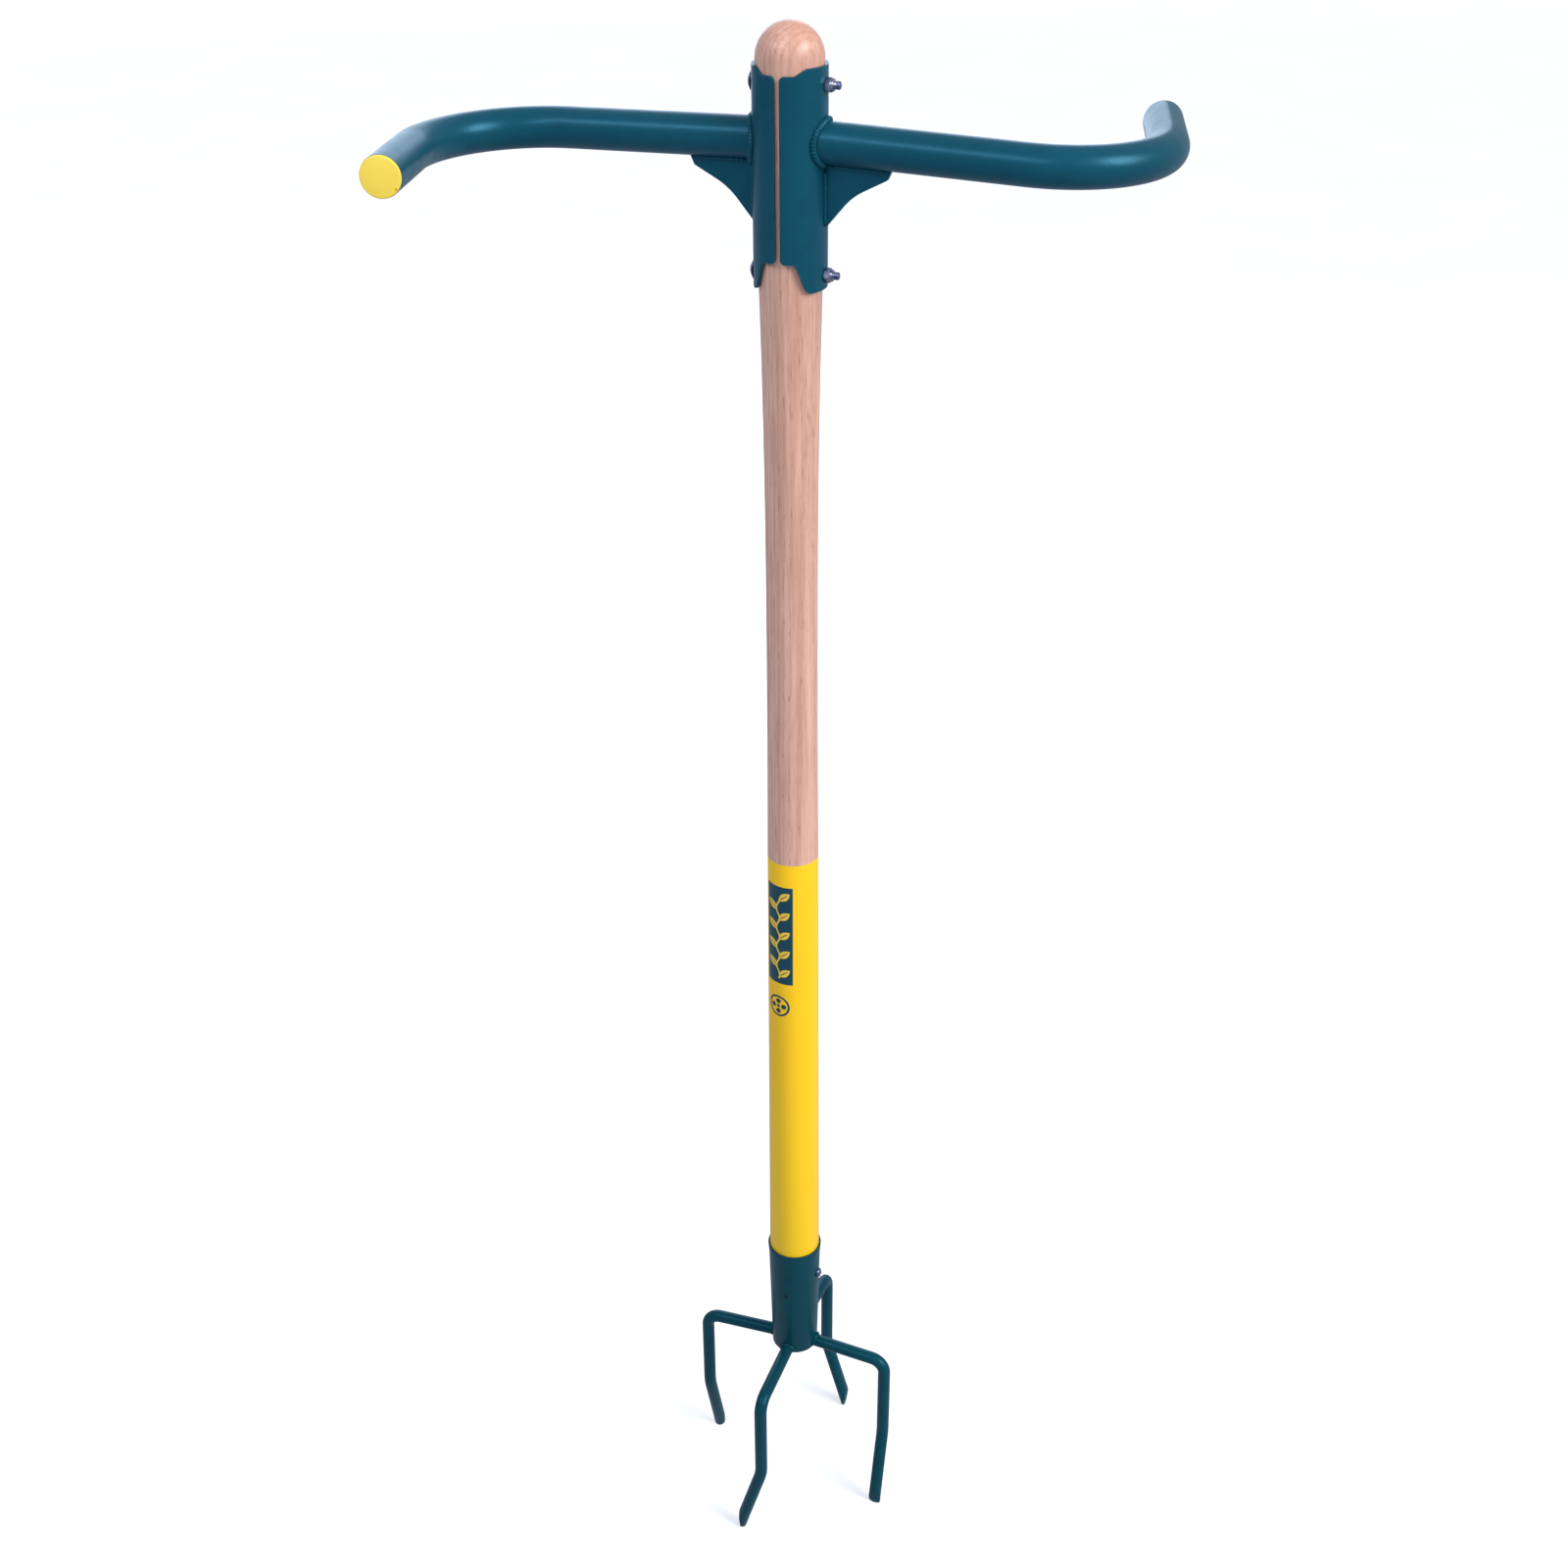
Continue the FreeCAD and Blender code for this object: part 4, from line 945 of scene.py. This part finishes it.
def nylon():
    """Natural nylon, slightly cloudy."""
    finish = Finish("natural_nylon", Specular_IOR_Level=0.4)
    cloud = finish.noise(900.0, 2.0)
    finish.feed(Base_Color=finish.blend(cloud, (0.74, 0.76, 0.74, 1.0), (0.86, 0.87, 0.84, 1.0)),
                Roughness=0.42 + cloud * 0.1)
    finish.relief(cloud, depth=0.00003, strength=0.3)
    return finish.material


ring_finish = nylon()
ring_profile = [(radius * mm, nut_height - depth * mm) for radius, depth in (
    (3.08, 1.28), (3.08, 0.35), (2.95, 0.2), (2.7, 0.2), (2.56, 0.35), (2.56, 1.28))]
to_plus_x = Matrix.Rotation(pi / 2, 4, "Y")
for level, height, twist in (("upper", bolt_heights[0], 12.0), ("lower", bolt_heights[1], 40.0)):
    head_seat = Matrix.Translation((-collar_outer, 0, height)) @ to_plus_x
    nut_seat = (Matrix.Translation((collar_outer, 0, height)) @ to_plus_x
                @ Matrix.Rotation(radians(twist), 4, "Z"))
    for name, shape, seat, finish, finish_slot in (
            ("clamp_bolt", coach_bolt(), head_seat, zinc, "zinc_steel"),
            ("clamp_nut", hex_nut(), nut_seat, zinc, "zinc_steel"),
            ("nut_insert", lathe(ring_profile, 48, ring=True), nut_seat, ring_finish,
             "white_nylon")):
        shape.transform(seat)
        settle(new_piece(f"{level}_{name}_fine", shape, finish, 28.0), f"{level}_{name}")


# ---------------- tine socket
# A tapered steel tube, rolled out slightly at its mouth, pressed on the tail of
# the handle. It has a screw at the side and a small unused hole in front.

foot_radius, neck_radius, mouth_radius = 18.3 * mm, 20.4 * mm, socket_high.x
socket_wall, flare_rounding, rim_rounding = 1.4 * mm, 30.0 * mm, 0.5 * mm
foot_inner_rounding, foot_outer_rounding = 0.35 * mm, 0.55 * mm
taper = (neck_radius - foot_radius) / (neck_height - socket_low.z)
socket_profile = soften([
    (foot_radius - socket_wall, socket_low.z, foot_inner_rounding),
    (foot_radius, socket_low.z, foot_outer_rounding),
    (neck_radius, neck_height, flare_rounding),
    (mouth_radius, socket_high.z, rim_rounding),
    (mouth_radius - socket_wall, socket_high.z, rim_rounding),
    (neck_radius - socket_wall, neck_height, flare_rounding),
], 5)
# The socket and tines wear the same teal coat as the arms. This copy is painted darker and less
# glossy as painted shade for the low, dimly lit part of the fork.
painted_shade_teal = powder_coat("fork_head_coat_painted_shade", (0.0030, 0.0540, 0.0740, 1.0),
                        (0.0022, 0.0450, 0.0620, 1.0), (0.0015, 0.0340, 0.0480, 1.0), 0.32)
socket = new_piece("steel_socket", lathe(socket_profile, 128, ring=True), painted_shade_teal)
carve(socket, [screw_hole(), pin_hole(0.0, pin_radius)])
settle(socket, "tine_socket")


# ---------------- socket screw
# A pan-head wood screw with a cross recess, driven through the socket's wall
# into the handle after coating, so its head is bare zinc.

screw_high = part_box("socket_screw")[1]
screw_head, screw_rim, screw_tall = 3.9 * mm, 1.04 * mm, 2.6 * mm
head_bevel, crown_bevel = 0.1 * mm, 0.15 * mm
shank_radius, shank_end, point_end = 2.0 * mm, -12.0 * mm, -16.0 * mm


def wood_screw():
    """The screw from its point to its head, along +Z from the head's seat."""
    crown = screw_tall - screw_rim
    dome = (screw_head ** 2 + crown ** 2) / (2 * crown)
    head = arc((0.0, screw_tall - dome), (dome, dome), acos(screw_head / dome), pi / 2, 10)
    return lathe([(0.0, point_end), (shank_radius, shank_end), (shank_radius, 0.0),
                  (screw_head - head_bevel, 0.0), (screw_head, head_bevel),
                  (screw_head, screw_rim - crown_bevel), *head[1:-1], (0.0, screw_tall)], 64)


def cross_recess():
    """The driver's shape: two crossed blades that narrow with depth."""
    floor, top = (2.2, 0.7, 1.2), (4.4, 1.0, 3.2)
    blades = []
    for turn in (0.0, pi / 2):
        blade = bmesh.new()
        bmesh.ops.create_cube(blade, size=1.0)
        for vert in blade.verts:
            length, width, height = floor if vert.co.z < 0 else top
            vert.co = Vector((vert.co.x * length * mm, vert.co.y * width * mm, height * mm))
        blade.transform(Matrix.Rotation(turn, 4, "Z"))
        blades.append(blade)
    return blades


screw = new_piece("socket_screw_fine", wood_screw(), zinc)
carve(screw, cross_recess())
screw_seat = Matrix.Translation((screw_high.x - screw_tall, 0, screw_height)) @ to_plus_x
settle(screw, "socket_screw",
       screw_seat @ Matrix.Rotation(radians(20.0), 4, "Z"))


# ---------------- tines
# Four lengths of 10 mm bar, bent twice and cut to a point on one side, then
# welded round the socket's foot. The lean makes them screw into the turf.

tine_radius = 5.0 * mm
tine_reach = 78.2 * mm
arm_start_height = socket_low.z + 2.4 * mm
arm_droop = radians(3.0)
corner_radius = 12.0 * mm
knee_height, knee_radius = 68.4 * mm, 45.0 * mm
lean = radians(16.15)
point_length, point_thickness = 18.0 * mm, 3.2 * mm
tine_bead = 1.5 * mm


def bend(corner, start, end, radius, steps):
    """Points round a tangent arc at a corner between two far points."""
    back, ahead = (start - corner).normalized(), (end - corner).normalized()
    half_angle = back.angle(ahead) / 2
    centre = corner + (back + ahead).normalized() * radius / sin(half_angle)
    first = corner + back * radius / tan(half_angle) - centre
    sweep = 2 * half_angle - pi
    return [centre + Matrix.Rotation(sweep * step / steps, 3, back.cross(ahead)) @ first
            for step in range(steps + 1)]


def tine_path():
    """The centreline out along +X, down, and leaning towards -Y below the knee."""
    start_x, below = 9.0 * mm, -12.0 * mm
    fall = tan(arm_droop)
    start = Vector((start_x, 0, arm_start_height + (foot_radius - start_x) * fall))
    corner = Vector((tine_reach, 0, arm_start_height - (tine_reach - foot_radius) * fall))
    knee = Vector((tine_reach, 0, knee_height))
    end = Vector((tine_reach, -(knee_height - below) * tan(lean), below))
    return [start, *bend(corner, start, knee, corner_radius, 14),
            *bend(knee, corner, end, knee_radius, 12), end]


def point_cutter():
    """What the shears take off: the leading side, and a rounded end at the ground line."""
    half_width = tine_radius / cos(lean)
    lead = -(knee_height - point_length) * tan(lean) - half_width
    trail = -knee_height * tan(lean) + half_width
    far, end_round, end_depth = 30.0 * mm, 5.4 * mm, 0.75
    shape = bmesh.new()
    sections = []
    steps = 16
    for step in range(steps + 1):
        across = end_round * sin(pi * (step / steps - 0.5))
        rise = (end_round - sqrt(max(end_round ** 2 - across ** 2, 0.0))) * end_depth
        corners = [(lead, point_length), (lead - far, point_length), (lead - far, -far),
                   (trail + far, -far), (trail + far, rise), (trail - point_thickness, rise)]
        sections.append([shape.verts.new((tine_reach + across, y, z)) for y, z in corners])
    shape.faces.new(sections[0])
    shape.faces.new(sections[-1])
    for here, beyond in zip(sections, sections[1:]):
        join_rows(shape, here, beyond)
    bmesh.ops.recalc_face_normals(shape, faces=shape.faces)
    return shape


def tine_bead_path():
    """Over the tine's inner end, from one side of the socket's foot to the other."""
    proud, lowest = 0.5 * mm, socket_low.z + 0.9 * mm
    side_angle = asin((lowest - arm_start_height) / (tine_radius + proud))
    post = foot_radius + proud + taper * (arm_start_height - socket_low.z)
    return seam(tine_radius + proud, post, arm_start_height, side_angle, pi - side_angle,
                40, taper=taper)


for number, side in enumerate(("right", "rear", "left", "front")):
    turn = Matrix.Rotation(pi / 2 * number, 4, "Z")
    tine = path_piece(f"{side}_tine_bar", [tine_path()], bar_tree, {
        "Bar Radius": tine_radius, "Sides": 40, "Fill Ends": True, "Post Radius": foot_radius,
        "Post Taper": taper, "Post Height": socket_low.z, "Material": painted_shade_teal})
    carve(tine, [point_cutter()])
    break_edges(tine, 35.0)
    settle(tine, f"{side}_tine", turn)
    bead = path_piece(f"{side}_tine_bead", [tine_bead_path()], bead_tree,
                      {**bead_sizes, "Bead Radius": tine_bead, "Seed": 11 + number,
                       "Material": painted_shade_teal})
    settle(bead, f"{side}_tine_weld", turn)


# ---------------- the studio
# A pale floor that curves up into a wall all round, a soft key from the right,
# a long strip in front, a rim from behind, and an even light from everywhere.

def pale_backdrop():
    """Matt and pale, a little uneven, and just bright enough to hide its own curve."""
    finish = Finish("pale_backdrop", Specular_IOR_Level=0.2, Emission_Strength=0.44,
                    Emission_Color=(1.0, 1.0, 1.0, 1.0))
    cloud = finish.noise(3.0, 2.0)
    finish.feed(Base_Color=finish.blend(cloud, (0.62, 0.62, 0.62, 1.0), (0.66, 0.66, 0.66, 1.0)),
                Roughness=0.7 + cloud * 0.1)
    return finish.material


floor_radius, curve, wall_height = 7.0, 4.0, 9.0
backdrop_profile = [(0.0, 0.0), *arc((floor_radius, curve), (curve, curve), -pi / 2, 0.0, 12),
                    (floor_radius + curve, wall_height), (0.0, wall_height + 0.5)]
backdrop = new_piece("studio_backdrop", lathe(backdrop_profile, 64), pale_backdrop())
backdrop.data.flip_normals()
backdrop.visible_diffuse = False
backdrop.visible_glossy = False
backdrop.visible_shadow = False


def studio_light(name, kind, spot, colour, settings):
    """A soft light that stands at a spot and faces the middle of the fork."""
    lamp = bpy.data.lights.new(name, kind)
    lamp.color = colour
    for setting, amount in settings.items():
        setattr(lamp, setting, amount)
    holder = bpy.data.objects.new(name, lamp)
    holder.location = spot
    holder.visible_camera = False
    holder.rotation_mode = "QUATERNION"
    holder.rotation_quaternion = (Vector((0, 0, 0.6)) - Vector(spot)).to_track_quat("-Z", "Y")
    bpy.context.scene.collection.objects.link(holder)


studio_light("key", "SUN", (2.8, -0.56, 2.4), (1.0, 0.955, 0.925),
             {"angle": radians(32.0), "energy": 2.75})
studio_light("strip", "AREA", (-0.9, -2.0, 3.0), (0.95, 0.97, 1.0),
             {"shape": "RECTANGLE", "size": 3.0, "size_y": 0.32, "energy": 34.0})
studio_light("rim", "AREA", (-1.3, 2.6, 1.5), (0.66, 0.82, 1.0), {"size": 2.2, "energy": 32.0})

world = bpy.data.worlds.new("studio")
world.use_nodes = True
sky = world.node_tree.nodes["Background"].inputs
sky["Color"].default_value = (0.84, 0.93, 1.12, 1.0)
sky["Strength"].default_value = 0.45
bpy.context.scene.world = world
bpy.context.scene.view_settings.view_transform = "Standard"

# the camera stands off the front right, above the handlebar, and looks down
camera_azimuth = radians(20.92)
camera_reach = 1253.25 * mm
camera_height = 1394.07 * mm
camera_pitch = radians(29.82)
camera_yaw = radians(0.28)
camera_roll = radians(-0.37)
lens = bpy.data.cameras.new("camera")
lens.lens = 47.22
camera = bpy.data.objects.new("camera", lens)
camera.location = (camera_reach * sin(camera_azimuth),
                   -camera_reach * cos(camera_azimuth), camera_height)
facing = camera_azimuth + camera_yaw
tilt = Matrix.Rotation(facing, 4, "Z") @ Matrix.Rotation(pi / 2 - camera_pitch, 4, "X")
camera.rotation_mode = "QUATERNION"
camera.rotation_quaternion = (tilt @ Matrix.Rotation(camera_roll, 4, "Z")).to_quaternion()
bpy.context.scene.collection.objects.link(camera)
bpy.context.scene.camera = camera
